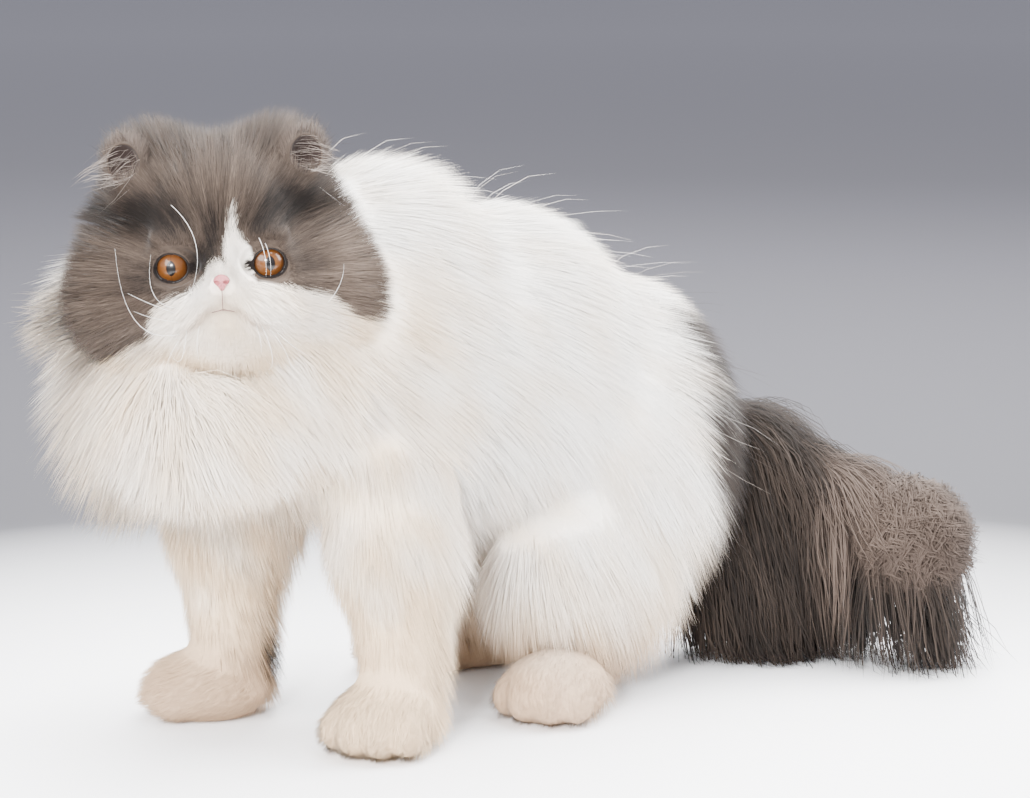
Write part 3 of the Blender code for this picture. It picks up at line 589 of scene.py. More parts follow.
@dataclass(frozen=True)
class Markings:
    """The grey cap and cheeks, white blaze, face and body, and taupe rump and tail."""

    head: Head
    white: tuple = (252, 247, 240)
    # Cream: partly the coat's own cream, partly painted warm shade under the head, under the chin and low on
    # the body.
    cream_and_shade: tuple = (228, 200, 164)
    # Tan low on the legs: partly the coat's own tan, partly painted shade.
    tan_and_shade: tuple = (182, 152, 124)
    shade: tuple = (150, 124, 106)
    light: tuple = (112, 97, 86)
    middle: tuple = (70, 59, 51)
    dark: tuple = (23, 18, 15)
    tail_dark: tuple = (24, 19, 16)
    tail_light: tuple = (62, 52, 45)
    wool: tuple = (88, 75, 67)
    lid: tuple = (22, 16, 14)
    ear: tuple = (38, 29, 26)
    patch_at: tuple = (-0.04, -0.117, 0.033)
    patch_size: float = 0.013
    border: tuple = (
        (-0.11, -0.08), (-0.074, -0.057), (-0.052, -0.0433), (-0.0395, -0.0387), (-0.0375, -0.03),
        (-0.0322, -0.0179), (-0.0161, -0.0108), (-0.0093, -0.005), (-0.0068, 0.0015), (-0.003, 0.0035),
        (0.013, 0.003), (0.0158, -0.005), (0.0195, -0.0092), (0.0255, -0.0104), (0.037, -0.0128),
        (0.059, -0.0202), (0.0647, -0.0271), (0.0695, -0.0329), (0.081, -0.0353), (0.11, -0.045),
    )
    blaze: tuple = (
        (-0.002, 0.001, 0.0178), (0.003, 0.002, 0.0176), (0.0095, 0.0022, 0.0165), (0.0146, 0.003, 0.012),
        (0.02, 0.0048, 0.0092), (0.033, 0.0078, 0.0084),
    )
    bands: tuple = (
        (-0.042, 0.027, 0.021, 0.012, -0.6), (0.041, 0.031, 0.02, 0.012, -0.6),
        (-0.003, 0.02, 0.005, 0.016, -0.45), (-0.01, 0.004, 0.007, 0.009, -0.55),
        (-0.042, -0.005, 0.012, 0.008, -0.3), (0.046, 0.000, 0.012, 0.007, -0.25),
        (0.022, 0.021, 0.01, 0.008, -0.35), (-0.02, 0.023, 0.008, 0.008, -0.2),
        (0.004, 0.05, 0.016, 0.018, 0.08), (-0.062, -0.03, 0.018, 0.016, 0.12),
        (-0.045, -0.012, 0.02, 0.016, -0.08), (0.072, -0.007, 0.014, 0.026, 0.36),
        # Painted shade: the first band here darkens the top of the cap, where the light from above falls
        # most.
        (0.0, 0.066, 0.07, 0.026, -0.2), (-0.03, 0.034, 0.02, 0.012, -0.14),
    )
    corner: tuple = (0.0155, -0.0005)
    corner_size: float = 0.0034
    rump_from: float = 0.138
    rump_slant: float = 0.25
    rump_fade: float = 0.012
    # How much darker the skin under the coat is painted than the coat, as painted shade.
    shade_under_coat: float = 0.92
    lid_share: float = 0.93
    ear_share: float = 0.92

    def head_white(self, local: Array, jitter: Array) -> Array:
        """How white the head is, 0 to 1: below the border, in the blaze and outside the grey cheeks.

        Args:
            local: Places in the head's frame.
            jitter: A draw from -1 to 1 for each.

        Returns:
            The shares.
        """
        x, y, z = local.T
        edge = np.interp(x, *zip(*self.border))
        below = smooth_step(-0.0016, 0.0016, edge - z + jitter * 0.003)
        levels, lefts, rights = zip(*self.blaze)
        left, right = np.interp(z, levels, lefts), np.interp(z, levels, rights)
        inside = np.minimum(x - left, right - x) + jitter * 0.0024
        inside = np.minimum(inside, levels[-1] - z)
        stripe = smooth_step(-0.001, 0.0014, inside) * (z > levels[0] - 0.003)
        outline = np.interp(z, self.head.grey_levels, self.head.grey_widths)
        fringe = smooth_step(-0.003, 0.003, np.abs(x) - outline + jitter * 0.004) * (y > 0.004)
        return np.maximum(np.maximum(below, fringe), stripe * (y < 0.0))

    def greys(self, local: Array, jitter: Array) -> Array:
        """The grey of the head, in soft dark and light bands that fan out from the nose, with painted shade
        darkening the top of the cap.
        """
        tone = np.full(len(local), 0.5)
        for x, z, wide, high, change in self.bands:
            across, up = (local[:, 0] - x) / wide, (local[:, 2] - z) / high
            tone += change * np.exp(-np.square(across) - np.square(up))
        angle = np.arctan2(local[:, 2] + 0.01, local[:, 0])
        fan = np.sin(angle * 23.0 + 1.3) * 0.5 + np.sin(angle * 41.0) * 0.5
        tone += fan * 0.09 + jitter * 0.26
        stops = np.array([linear(*self.dark), linear(*self.middle), linear(*self.light)])
        return np.column_stack([np.interp(tone, (0.0, 0.5, 1.0), stops[:, i]) for i in range(3)])

    def whites(self, points: Array, local: Array, on_head: Array, jitter: Array) -> Array:
        """White with cream on the bib, chin and low body and tan low on the legs, each partly the coat's own
        colour and partly painted shade, and painted shade along the mouth's line.

        Args:
            points: Places in the cat's frame.
            local: The same places in the head's frame.
            on_head: 1 where the place belongs to the head.
            jitter: A draw from -1 to 1 for each.

        Returns:
            Linear colours.
        """
        x, y, z = points.T
        # Cream on the bib, under the chin and low on the body: partly the coat's own cream, partly painted
        # warm shade.
        bib = smooth_step(-0.02, -0.1, y) * smooth_step(0.285, 0.245, z)
        under = smooth_step(0.15, 0.03, z)
        chin = on_head * smooth_step(-0.03, -0.062, local[:, 2]) * (local[:, 1] < 0.0)
        cream_and_warm_shade = 0.1 + 0.5 * bib + 0.55 * under + 0.45 * chin
        cream_and_shade = np.clip(cream_and_warm_shade + 0.22 * ripple(points, 0.045, 1) + 0.1 * jitter, 0.0, 1.0)
        white = mixed(linear(*self.white), linear(*self.cream_and_shade), cream_and_shade)
        # Tan low on the legs: partly the coat's own tan, partly painted shade that is heavier on the far side
        # and at the back.
        shaded = np.clip(smooth_step(-0.01, -0.02, x) + smooth_step(-0.07, -0.03, y), 0.0, 1.0)
        white = mixed(white, linear(*self.tan_and_shade), smooth_step(0.075, 0.02, z) * (0.25 + 0.65 * shaded))
        # Painted shade along the line of the mouth and the groove above it.
        lips = 0.6 * on_head * smooth_step(0.0046, 0.0006, self.head.from_mouth(local))
        return mixed(white, linear(*self.shade), lips)

    def taupes(self, points: Array, jitter: Array) -> Array:
        """The colours of rump and tail, paler and woolly on the ball at its end."""
        share = np.clip(0.3 + 0.3 * ripple(points, 0.03, 2) + 0.35 * jitter, 0.0, 1.0)
        taupe = mixed(linear(*self.tail_dark), linear(*self.tail_light), share)
        woolly = smooth_step(0.078, 0.108, points[:, 0]) * smooth_step(0.03, 0.055, points[:, 2])
        return mixed(taupe, linear(*self.wool), woolly * (0.55 + 0.45 * share))

    def taupe_share(self, points: Array, on_tail: Array, jitter: Array) -> Array:
        """How far a place is taupe, 0 to 1: the rump, the tail and a patch on one foreleg."""
        slanted = points[:, 1] + self.rump_slant * np.abs(points[:, 0] - 0.02) + jitter * 0.008
        slanted += 0.012 * ripple(points, 0.05, 3)
        rump = smooth_step(self.rump_from - self.rump_fade, self.rump_from + self.rump_fade, slanted)
        away = np.linalg.norm(points - np.array(self.patch_at), axis=1) / self.patch_size
        patch = smooth_step(1.25, 0.75, away + 0.15 * jitter)
        return np.maximum(np.maximum(rump, on_tail), patch)

    def colour(self, points: Array, on_head: Array, on_tail: Array, jitter: Array) -> Array:
        """Linear colours at places of the coat.

        Args:
            points: Places in the cat's frame, where each tuft shows most.
            on_head: 1 where the place belongs to the head.
            on_tail: 1 where it belongs to the tail.
            jitter: A draw from -1 to 1 for each tuft.

        Returns:
            One colour per place.
        """
        local = self.head.local(points)
        white = self.whites(points, local, on_head, jitter)
        head_colour = mixed(self.greys(local, jitter), white, self.head_white(local, jitter))
        # Darker, in the lids' colour, at the inner corners of the eyes.
        across, up = np.abs(local[:, 0]) - self.corner[0], local[:, 2] - self.corner[1]
        corner = np.hypot(across, up) / self.corner_size
        inner_corner_dark = smooth_step(1.2, 0.7, corner) * (local[:, 1] < 0.0)
        head_colour = mixed(head_colour, linear(*self.lid), inner_corner_dark)
        taupe = self.taupes(points, jitter)
        body_colour = mixed(white, taupe, self.taupe_share(points, on_tail, jitter))
        return mixed(body_colour, head_colour, on_head)

    def paint_skin(self, skin: bpy.types.Object, flesh: Flesh) -> None:
        """Paints the coat's markings on the skin under it, a little darker as painted shade under the coat,
        dark in the ears and at the lids.

        Args:
            skin: The skin's object.
            flesh: What it lies on.
        """
        places = read(skin.data.vertices, "co", 3)
        form = flesh.nearest(places)
        on_head, on_tail = (
            np.isin(form, [flesh.names.index(name) for name in names]).astype(float)
            for names in (("head",), ("tail_root", "tail_tip"))
        )
        # Painted shade: the skin under the coat a little darker than the coat's colour.
        colour = self.colour(places, on_head, on_tail, np.zeros(len(places))) * self.shade_under_coat
        colour[self.head.in_opening(places, self.lid_share)] = linear(*self.lid)
        for sign in SIGNS:
            inside = np.linalg.norm(self.head.in_ear(places, sign) / self.head.ear_radii, axis=1)
            colour[inside < self.ear_share] = linear(*self.ear)
        paint_vertices(skin.data, colour)


@dataclass
class Roots:
    """Places where tufts grow: on the skin, with its normals and its unwrap."""

    place: Array
    normal: Array
    eased: Array
    flat: Array


class Skin:
    """One closed skin over head, body, legs and tail, with lids, mouth and ears."""

    VOXEL = 0.0034
    FACE_REACH = 0.064
    DETAIL_REACH = 0.024
    FINE_REACH = 0.0165
    EYE_REACH = 0.0145
    FIRST_ROUNDS = 4
    ROUNDS = 7
    STEP = 0.004
    NAME = "skin"

    def __init__(self, flesh: Flesh) -> None:
        """Keeps the flesh that the skin lies on."""
        self.flesh = flesh

    def build(self) -> bpy.types.Object:
        """Remeshes the masses, unwraps them, makes the face fine and lays the skin on the flesh."""
        skin = shown(self.NAME, self._remeshed())
        self._unwrap(skin)
        self._refine(skin, self._face_centres(), self.FACE_REACH)
        self._settle(skin, self.FIRST_ROUNDS)
        self._refine(skin, self._detail_centres(), self.DETAIL_REACH)
        self._refine(skin, self._detail_centres(), self.FINE_REACH)
        self._refine(skin, self._eye_centres(), self.EYE_REACH)
        self._settle(skin, self.ROUNDS)
        rounded(skin.data)
        return skin

    def _remeshed(self) -> bpy.types.Mesh:
        """The closed base of all masses, even in its faces."""
        head = self.flesh.head
        bm = bmesh.new()
        for form in self.flesh.forms.values():
            for mass in form.masses:
                mass.add_to(bm)
        for sign in SIGNS:
            head.ear_mass(sign).add_to(bm)
            Mass(tuple(head.eye_centre(sign)), (head.eye_radius,) * 3).add_to(bm)
        rough = bpy.data.meshes.new("masses")
        bm.to_mesh(rough)
        bm.free()
        maker = shown("masses", rough)
        remesh = maker.modifiers.new("even", "REMESH")
        remesh.mode = "VOXEL"
        remesh.voxel_size = self.VOXEL
        graph = bpy.context.evaluated_depsgraph_get()
        mesh = bpy.data.meshes.new_from_object(maker.evaluated_get(graph))
        bpy.data.objects.remove(maker)
        mesh.name = self.NAME
        return mesh

    def _unwrap(self, skin: bpy.types.Object) -> None:
        """Unwraps the skin's own shape into the map that the coat's patches use."""
        skin.data.uv_layers.new(name=UNWRAP)
        bpy.context.view_layer.objects.active = skin
        skin.select_set(True)
        bpy.ops.object.mode_set(mode="EDIT")
        bpy.ops.mesh.select_all(action="SELECT")
        bpy.ops.uv.smart_project(angle_limit=math.radians(70.0), island_margin=0.002)
        bpy.ops.object.mode_set(mode="OBJECT")
        skin.select_set(False)

    def _ear_centres(self) -> list[tuple]:
        """The middles of the ears."""
        return [tuple(self.flesh.head.ear_frame(sign)[0]) for sign in SIGNS]

    def _face_centres(self) -> list[tuple]:
        """Where the skin is made fine: the front of the head, the ears and the paws."""
        forms = self.flesh.forms
        names = [f"{kind}_{side}" for kind in ("forepaw", "hindpaw") for side, _ in SIDES]
        paws = [forms[name].masses[0].centre for name in names]
        return [tuple(self.flesh.head.place(0.0, -0.022, -0.004)), *self._ear_centres(), *paws]

    def _detail_centres(self) -> list[tuple]:
        """Where it is finest: the lids, nose, mouth and ears."""
        spots = [(0.0, -0.044, -0.006), (0.0, -0.046, -0.02)]
        spots += [(0.012 * sign, -0.044, -0.025) for sign in SIGNS]
        face = [tuple(self.flesh.head.place(*spot)) for spot in spots]
        return [*face, *self._eye_centres(), *self._ear_centres()]

    def _eye_centres(self) -> list[tuple]:
        """The middles of the eye openings."""
        head, ahead = self.flesh.head, Vector((0.0, -0.01, 0.0))
        return [tuple(head.eye_centre(sign) + head.gaze(sign) @ ahead) for sign in SIGNS]

    def _refine(self, skin: bpy.types.Object, centres: list[tuple], reach: float) -> None:
        """Divides the faces near some centres.

        Args:
            skin: What is divided.
            centres: Places round which it is divided.
            reach: How far from them.
        """
        bm = bmesh.new()
        bm.from_mesh(skin.data)
        middles = np.array([face.calc_center_median() for face in bm.faces])
        close = np.zeros(len(middles), bool)
        for centre in centres:
            close |= np.linalg.norm(middles - np.array(centre), axis=1) < reach
        bm.faces.ensure_lookup_table()
        edges = {edge for i in np.flatnonzero(close) for edge in bm.faces[i].edges}
        bmesh.ops.subdivide_edges(bm, edges=list(edges), cuts=1, use_grid_fill=True)
        bm.to_mesh(skin.data)
        bm.free()

    def _settle(self, skin: bpy.types.Object, rounds: int) -> None:
        """Moves every vertex onto the flesh, and evens them out along it.

        Args:
            skin: What is moved.
            rounds: How many times.
        """
        mesh = skin.data
        places = read(mesh.vertices, "co", 3)
        first, second = read(mesh.edges, "vertices", 2, int).T
        count = len(places)
        degree = np.bincount(first, minlength=count) + np.bincount(second, minlength=count)
        for turn in range(rounds):
            values = self.flesh.distance(places)
            slope = self.flesh.slope(places, values)
            places -= slope * np.clip(values, -self.STEP, self.STEP)[:, None]
            if turn < rounds - 2:
                drift = neighbour_sum(places, first, second) / degree[:, None] - places
                drift -= slope * np.sum(drift * slope, axis=1, keepdims=True)
                places += drift * 0.5
        mesh.vertices.foreach_set("co", places.ravel())
        mesh.update()


class Field:
    """The skin's triangles as arrays, to draw roots from."""

    EASE_ROUNDS = 120
    EASED = ("trunk", "neck", "haunch_left", "haunch_right", "foreleg_left", "foreleg_right")

    def __init__(self, mesh: bpy.types.Mesh, flesh: Flesh) -> None:
        """Reads places, normals and unwrap of every triangle."""
        mesh.calc_loop_triangles()
        corners = read(mesh.loop_triangles, "vertices", 3, int)
        loops = read(mesh.loop_triangles, "loops", 3, int)
        places = read(mesh.vertices, "co", 3)
        normals = flesh.slope(places, flesh.distance(places))
        self.names = flesh.names
        self.corner_place = places[corners]
        self.corner_normal = normals[corners]
        self.corner_eased = self._eased(mesh, flesh.nearest(places), normals)[corners]
        self.corner_flat = read(mesh.uv_layers[UNWRAP].uv, "vector", 2)[loops]
        self.middle = self.corner_place.mean(axis=1)
        self.normal = unit(self.corner_normal.mean(axis=1))
        sides = self.corner_place[:, 1:] - self.corner_place[:, :1]
        self.area = np.linalg.norm(np.cross(sides[:, 0], sides[:, 1]), axis=1) / 2.0
        self.form = flesh.nearest(self.middle)

    def _eased(self, mesh: bpy.types.Mesh, form: Array, normals: Array) -> Array:
        """Averages the normals over the body's large forms, so that the coat over them is lit as one.

        Args:
            mesh: The skin's mesh.
            form: The number of each vertex's form.
            normals: The normals at the vertices.

        Returns:
            The eased normals.
        """
        first, second = read(mesh.edges, "vertices", 2, int).T
        large = np.isin(form, [self.names.index(name) for name in self.EASED])[:, None]
        result = normals.copy()
        for _ in range(self.EASE_ROUNDS):
            result = np.where(large, unit(neighbour_sum(result, first, second)), result)
        return result

    def belongs(self, *names: str) -> Array:
        """True for the triangles nearest to the named forms."""
        return np.isin(self.form, [self.names.index(name) for name in names])

    def draw(self, weight: Array, count: int, seed: int) -> Roots:
        """Draws roots evenly over the skin.

        Args:
            weight: How dense the tufts are on each triangle.
            count: How many are drawn.
            seed: The draw's seed.

        Returns:
            The roots.
        """
        rng = np.random.default_rng(seed)
        running = np.cumsum(self.area * weight)
        picks = np.searchsorted(running, (np.arange(count) + rng.random(count)) / count * running[-1])
        picks = np.clip(picks, 0, len(self.area) - 1)
        a, b = rng.random(count), rng.random(count)
        over = a + b > 1.0
        a[over], b[over] = 1.0 - a[over], 1.0 - b[over]
        share = np.stack((1.0 - a - b, a, b), axis=1)[:, :, None]
        tables = (self.corner_place, self.corner_normal, self.corner_eased, self.corner_flat)
        place, normal, eased, flat = ((table[picks] * share).sum(axis=1) for table in tables)
        order = rng.permutation(count)
        return Roots(place[order], unit(normal)[order], unit(eased)[order], flat[order])


@dataclass
class Growth:
    """How each tuft grows from its root."""

    length: Array
    width: Array
    lie: Array
    lift: Array
    droop: Array
    cut: "Cut"


@dataclass(frozen=True)
class Cut:
    """The measures of one stretch of coat.

    A tuft is slender times its length wide, and base more. Lift turns it from its lie towards the
    skin's normal, droop turns its end down, clump draws it to a guide, and wave and curl bend it.
    """

    short: float
    long: float
    slender: float
    base: float
    lift: float = 0.3
    droop: float = 0.0
    clump: float = 0.35
    wave: float = 0.04
    curl: float = 0.0

    def lengths(self, draw: Array, share: Array) -> Array:
        """Lengths from short to long by a share, with the draw's spread."""
        return (self.short + (self.long - self.short) * np.clip(share, 0.0, 1.0)) * (0.78 + 0.44 * draw)

    def grown(
        self, length: Array, lie: Array, lift: Optional[Array] = None, droop: Optional[Array] = None,
    ) -> Growth:
        """The growth of tufts of some lengths.

        Args:
            length: The lengths.
            lie: The one way they all lie, or a way for each.
            lift: Lifts that differ from tuft to tuft, if they do.
            droop: Droops that differ, if they do.

        Returns:
            The growth.
        """
        count = len(length)
        return Growth(
            length,
            length * self.slender + self.base,
            np.array(np.broadcast_to(lie, (count, 3))),
            np.full(count, self.lift) if lift is None else lift,
            np.full(count, self.droop) if droop is None else droop,
            self,
        )


@dataclass
class Pelt:
    """One stretch of the coat, made as one mesh."""

    name: str
    count: int
    rings: int
    guides: int
    weight: Array
    growth: Callable[[Cut, Roots, Array], Growth]
    cut: Cut
    on_head: float = 0.0
    on_tail: float = 0.0
    slot: Slot = Slot.WHITE
    tint: Optional[tuple] = None


class Tufts:
    """Turns roots and growth into one mesh of tapered three-sided tufts."""

    PATCH = 0.003
    SHOWN_AT = 0.6
    FLOOR = 0.0008
    SINK = 0.0012
    SINK_SHARE = 0.1
    SOFTNESS = 0.93
    SIDE_TURN = 0.25
    CORNERS = ((-0.5, 0.0), (0.5, 0.0), (0.0, 0.42))
    SHORT_SWELL = 0.8

    def __init__(self, markings: Markings, finish: bpy.types.Material) -> None:
        """Keeps what colours and dresses the tufts."""
        self.markings = markings
        self.finish = finish

    def paths(self, roots: Roots, growth: Growth, pelt: Pelt, rng: np.random.Generator) -> Array:
        """The line that each tuft follows.

        Args:
            roots: Where the tufts start.
            growth: How they grow.
            pelt: The stretch of coat, with the rings of a tuft and how many tufts share a guide.
            rng: The draw.

        Returns:
            Points of shape (tufts, rings + 1, 3).
        """
        count = len(roots.place)
        flat_lie = growth.lie - roots.normal * np.sum(growth.lie * roots.normal, axis=1, keepdims=True)
        flat_lie = unit(flat_lie + rng.normal(size=(count, 3)) * 0.1)
        lift, droop = growth.lift[:, None], growth.droop[:, None]
        begin = unit(roots.normal * lift + flat_lie * (1.0 - lift))
        down = np.array((0.0, 0.0, -1.0))
        end = unit(unit(begin * 0.35 + growth.lie) * (1.0 - droop) + down * droop)
        share = np.linspace(0.0, 1.0, pelt.rings + 1)[None, :, None]
        reach = growth.length[:, None, None]
        sunk = np.minimum(self.SINK, growth.length * self.SINK_SHARE)[:, None]
        start = (roots.place - roots.normal * sunk)[:, None, :]
        line = start + reach * (begin[:, None] * (share - 0.5 * share**2) + end[:, None] * 0.5 * share**2)
        leaders = max(1, count // pelt.guides)
        tree = KDTree(leaders)
        for i in range(leaders):
            tree.insert(roots.place[i], i)
        tree.balance()
        guide = np.array([tree.find(place)[1] for place in roots.place])
        drawn = growth.cut.clump * share**1.4 * rng.uniform(0.4, 1.4, (count, 1, 1))
        target = line[guide] + (start - start[guide]) * 0.25
        line = line * (1.0 - drawn) + target * drawn
        side = unit(np.cross(begin, roots.normal))[:, None]
        phase = rng.uniform(0.0, 2.0 * math.pi, (leaders, 1, 1))[guide] + rng.normal(size=(count, 1, 1)) * 0.5
        line = line + side * np.sin(share * 5.0 + phase) * share * reach * growth.cut.wave
        if growth.cut.curl:
            spin = share * 9.0 + phase
            coil = side * np.cos(spin) + roots.normal[:, None] * np.sin(spin)
            line = line + reach * growth.cut.curl * share * coil
        return line

    def mesh(self, roots: Roots, growth: Growth, pelt: Pelt, seed: int) -> bpy.types.Object:
        """The mesh of one pelt.

        Args:
            roots: Where its tufts start.
            growth: How they grow.
            pelt: The stretch of coat.
            seed: The draw's seed.

        Returns:
            The piece.
        """
        rng = np.random.default_rng(seed)
        count, rings = len(roots.place), pelt.rings
        line = self.paths(roots, growth, pelt, rng)
        ahead = unit(np.gradient(line, axis=1))
        outward = np.repeat(roots.normal[:, None], rings + 1, axis=1)
        side = unit(np.cross(ahead, outward))
        up = unit(np.cross(side, ahead))
        share = np.linspace(0.0, 1.0, rings + 1)[:-1]
        swell = (0.55 + 0.9 * share) * (1.0 - share ** 2.2) if rings > 1 else np.array((self.SHORT_SWELL,))
        width = (growth.width[:, None] * swell[None])[..., None]
        twist = rng.uniform(-0.5, 0.5, (count, 1, 1))
        across = side * np.cos(twist) + up * np.sin(twist)
        above = up * np.cos(twist) - side * np.sin(twist)
        rows = [line[:, :-1] + width * (across[:, :-1] * x + above[:, :-1] * y) for x, y in self.CORNERS]
        body = np.stack(rows, axis=2).reshape(count, rings * 3, 3)
        points = np.concatenate((body, line[:, -1:]), axis=1)
        points[..., 2] = np.maximum(points[..., 2], self.FLOOR)
        pattern = self.pattern(rings)
        faces = (np.arange(count)[:, None, None] * points.shape[1] + pattern[None]).reshape(-1, 3)
        piece = self._joined(pelt.name, points.reshape(-1, 3), faces)
        self._unwrap(piece, roots, pattern, rings)
        self._paint(piece, line, pelt, rng)
        soft = unit(above * (1.0 - self.SOFTNESS) + roots.eased[:, None] * self.SOFTNESS)
        spread = [soft[:, :-1] + across[:, :-1] * x * self.SIDE_TURN for x, _ in self.CORNERS]
        normals = np.stack(spread, axis=2).reshape(count, rings * 3, 3)
        normals = unit(np.concatenate((normals, soft[:, -1:]), axis=1)).reshape(-1, 3)
        piece.data.normals_split_custom_set_from_vertices(normals)
        piece.data.materials.append(self.finish)
        return piece

    @staticmethod
    def pattern(rings: int) -> Array:
        """The triangles of one tuft, whose rings have three corners."""
        faces = [(0, 1, 2)]
        for ring in range(rings - 1):
            for k in range(3):
                a, b = ring * 3 + k, ring * 3 + (k + 1) % 3
                faces += [(a, a + 3, b), (b, a + 3, b + 3)]
        last, tip = (rings - 1) * 3, rings * 3
        faces += [(last + k, tip, last + (k + 1) % 3) for k in range(3)]
        return np.array(faces)

    @staticmethod
    def _joined(name: str, points: Array, faces: Array) -> bpy.types.Object:
        """One object of many small closed forms, from arrays of corners and triangles."""
        mesh = bpy.data.meshes.new(name)
        mesh.vertices.add(len(points))
        mesh.vertices.foreach_set("co", points.astype(np.float32).ravel())
        mesh.loops.add(faces.size)
        mesh.loops.foreach_set("vertex_index", faces.astype(np.int32).ravel())
        mesh.polygons.add(len(faces))
        mesh.polygons.foreach_set("loop_start", np.arange(0, faces.size, 3, dtype=np.int32))
        mesh.update(calc_edges=True)
        rounded(mesh)
        return shown(name, mesh)

    def _unwrap(self, piece: bpy.types.Object, roots: Roots, pattern: Array, rings: int) -> None:
        """Lays each tuft as a small patch at its root's place on the skin's unwrap."""
        level = np.append(np.repeat(np.arange(rings) / rings, 3), 1.0)
        across = np.append(np.tile((0.0, 0.5, 1.0), rings), 0.5)
        patch = np.column_stack((across - 0.5, level - 0.5)) * self.PATCH
        flat = roots.flat[:, None] + patch[pattern.ravel()][None]
        layer = piece.data.uv_layers.new(name=UNWRAP)
        layer.uv.foreach_set("vector", flat.astype(np.float32).ravel())

    def _paint(self, piece: bpy.types.Object, line: Array, pelt: Pelt, rng: np.random.Generator) -> None:
        """Gives each tuft the marking of the place where it shows, with painted shade darkening it towards
        its root.
        """
        count = len(line)
        where = line[:, 0] * (1.0 - self.SHOWN_AT) + line[:, -1] * self.SHOWN_AT
        jitter = np.clip(rng.normal(size=count) * 0.5, -1.0, 1.0)
        on_head, on_tail = np.full(count, pelt.on_head), np.full(count, pelt.on_tail)
        colour = self.markings.colour(where, on_head, on_tail, jitter)
        if pelt.tint:
            dark, pale = (linear(*tone) for tone in pelt.tint)
            colour = dark + (pale - dark) * (0.5 + 0.5 * jitter[:, None])
        colour = colour * rng.uniform(0.96, 1.03, (count, 1))
        # Painted shade: each tuft darker towards its root, a little lighter at its tip.
        root_shade = np.append(np.repeat(np.linspace(0.95, 1.0, pelt.rings), 3), 1.02)
        paint_vertices(piece.data, (colour[:, None] * root_shade[None, :, None]).reshape(-1, 3))


class Zones:
    """Where each stretch of coat grows, as a weight for every triangle of the skin."""

    def __init__(self, field: Field, head: Head) -> None:
        """Measures the triangles of the head and finds its ears."""
        self.field, self.head = field, head
        self.local = head.local(field.middle)
        self.on_head = field.belongs("head")
        gaps = [head.ear_mass(sign).distance(field.middle) for sign in SIGNS]
        self.ears = smooth_step(0.0018, 0.0004, np.min(gaps, axis=0))
        self.off_ears = 1.0 - self.ears
        self.hollow = self._hollow()

    def _hollow(self) -> Array:
        """1 where the skin of an ear faces into its cup."""
        hollow = np.zeros(len(self.local))
        for sign in SIGNS:
            local = self.head.in_ear(self.field.middle, sign)
            facing = self.field.normal @ np.array(self.head.ear_frame(sign)[1])
            inside = (np.linalg.norm(local / self.head.ear_radii, axis=1) < 0.93) & (facing[:, 1] < 0.2)
            hollow = np.maximum(hollow, inside * (np.linalg.norm(local, axis=1) < 0.03))
        return hollow

    def ear_hollows(self) -> Array:
        """The insides of the ears, where their tufts grow."""
        return self.ears * self.hollow

    def ear_backs(self) -> Array:
        """The outsides and edges of the ears."""
        return self.ears * (1.0 - self.hollow)

    def bare(self, nose_gap: float, lid_gap: float) -> Array:
        """0 on the nose leather, in the eye openings and on the lips, 1 elsewhere."""
        keep = np.ones(len(self.local))
        nose = np.linalg.norm((self.local - np.array(self.head.nose)) / (1.0, 1.6, 0.9), axis=1)
        keep[nose < nose_gap] = 0.0
        keep[self.head.in_opening(self.field.middle, lid_gap)] = 0.0
        for line in self.head.mouth_masses((0.0017, 0.0013)):
            keep[line.distance(self.local) < 0.0] = 0.0
        return keep

    def front(self) -> Array:
        """Muzzle and chin."""
        near_nose = (self.local - np.array((0.0, -0.046, -0.018))) / (1.25, 1.0, 1.0)
        return smooth_step(0.03, 0.022, np.linalg.norm(near_nose, axis=1)) * self.on_head * self.off_ears

    def pads(self) -> Array:
        """The two pads beside the nose, away from the mouth."""
        return smooth_step(0.013, 0.006, from_pair(self.local, (0.017, -0.042, -0.019))) * self.on_head

    def middle(self) -> Array:
        """The face, finer near the eyes."""
        forward = smooth_step(0.012, -0.004, self.local[:, 1])
        fine = 1.0 + 1.6 * smooth_step(0.03, 0.014, from_pair(self.local, (0.026, -0.026, 0.0)))
        return (1.0 - self.front()) * forward * fine * self.on_head * self.off_ears

    def rear(self) -> Array:
        """Crown and cheeks."""
        return smooth_step(-0.01, 0.01, self.local[:, 1]) * self.on_head * self.off_ears

    def behind_head(self) -> Array:
        """The back half of the head below the crown."""
        share = smooth_step(0.008, 0.02, self.local[:, 1]) * smooth_step(0.014, 0.000, self.local[:, 2])
        return share * self.on_head * self.off_ears

    def half(self, sign: float) -> Array:
        """One side of the trunk."""
        return self.field.belongs("trunk") * (self.field.middle[:, 0] * sign >= 0.0)

    def outer(self) -> Array:
        """Trunk and neck, and the head's crown."""
        return self.field.belongs("trunk", "neck") + 1.6 * self.rear()

    def falling(self) -> Array:
        """The tail's root and the underside of its end."""
        under = smooth_step(0.1, -0.5, self.field.normal[:, 2]) * self.field.belongs("tail_tip")
        return self.field.belongs("tail_root") + 0.8 * under

    def one(self, name: str) -> Array:
        """A form of the body by its name."""
        return self.field.belongs(name).astype(float)

    def pair(self, kind: str) -> Array:
        """A form that there is one of on either side."""
        return self.field.belongs(f"{kind}_left", f"{kind}_right").astype(float)


def from_pair(local: Array, spot: tuple[float, float, float]) -> Array:
    """Distances from places of the head's frame to the nearer of a spot and its mirror image."""
    x, y, z = spot
    return np.min([np.linalg.norm(local - np.array((x * sign, y, z)), axis=1) for sign in SIGNS], axis=0)


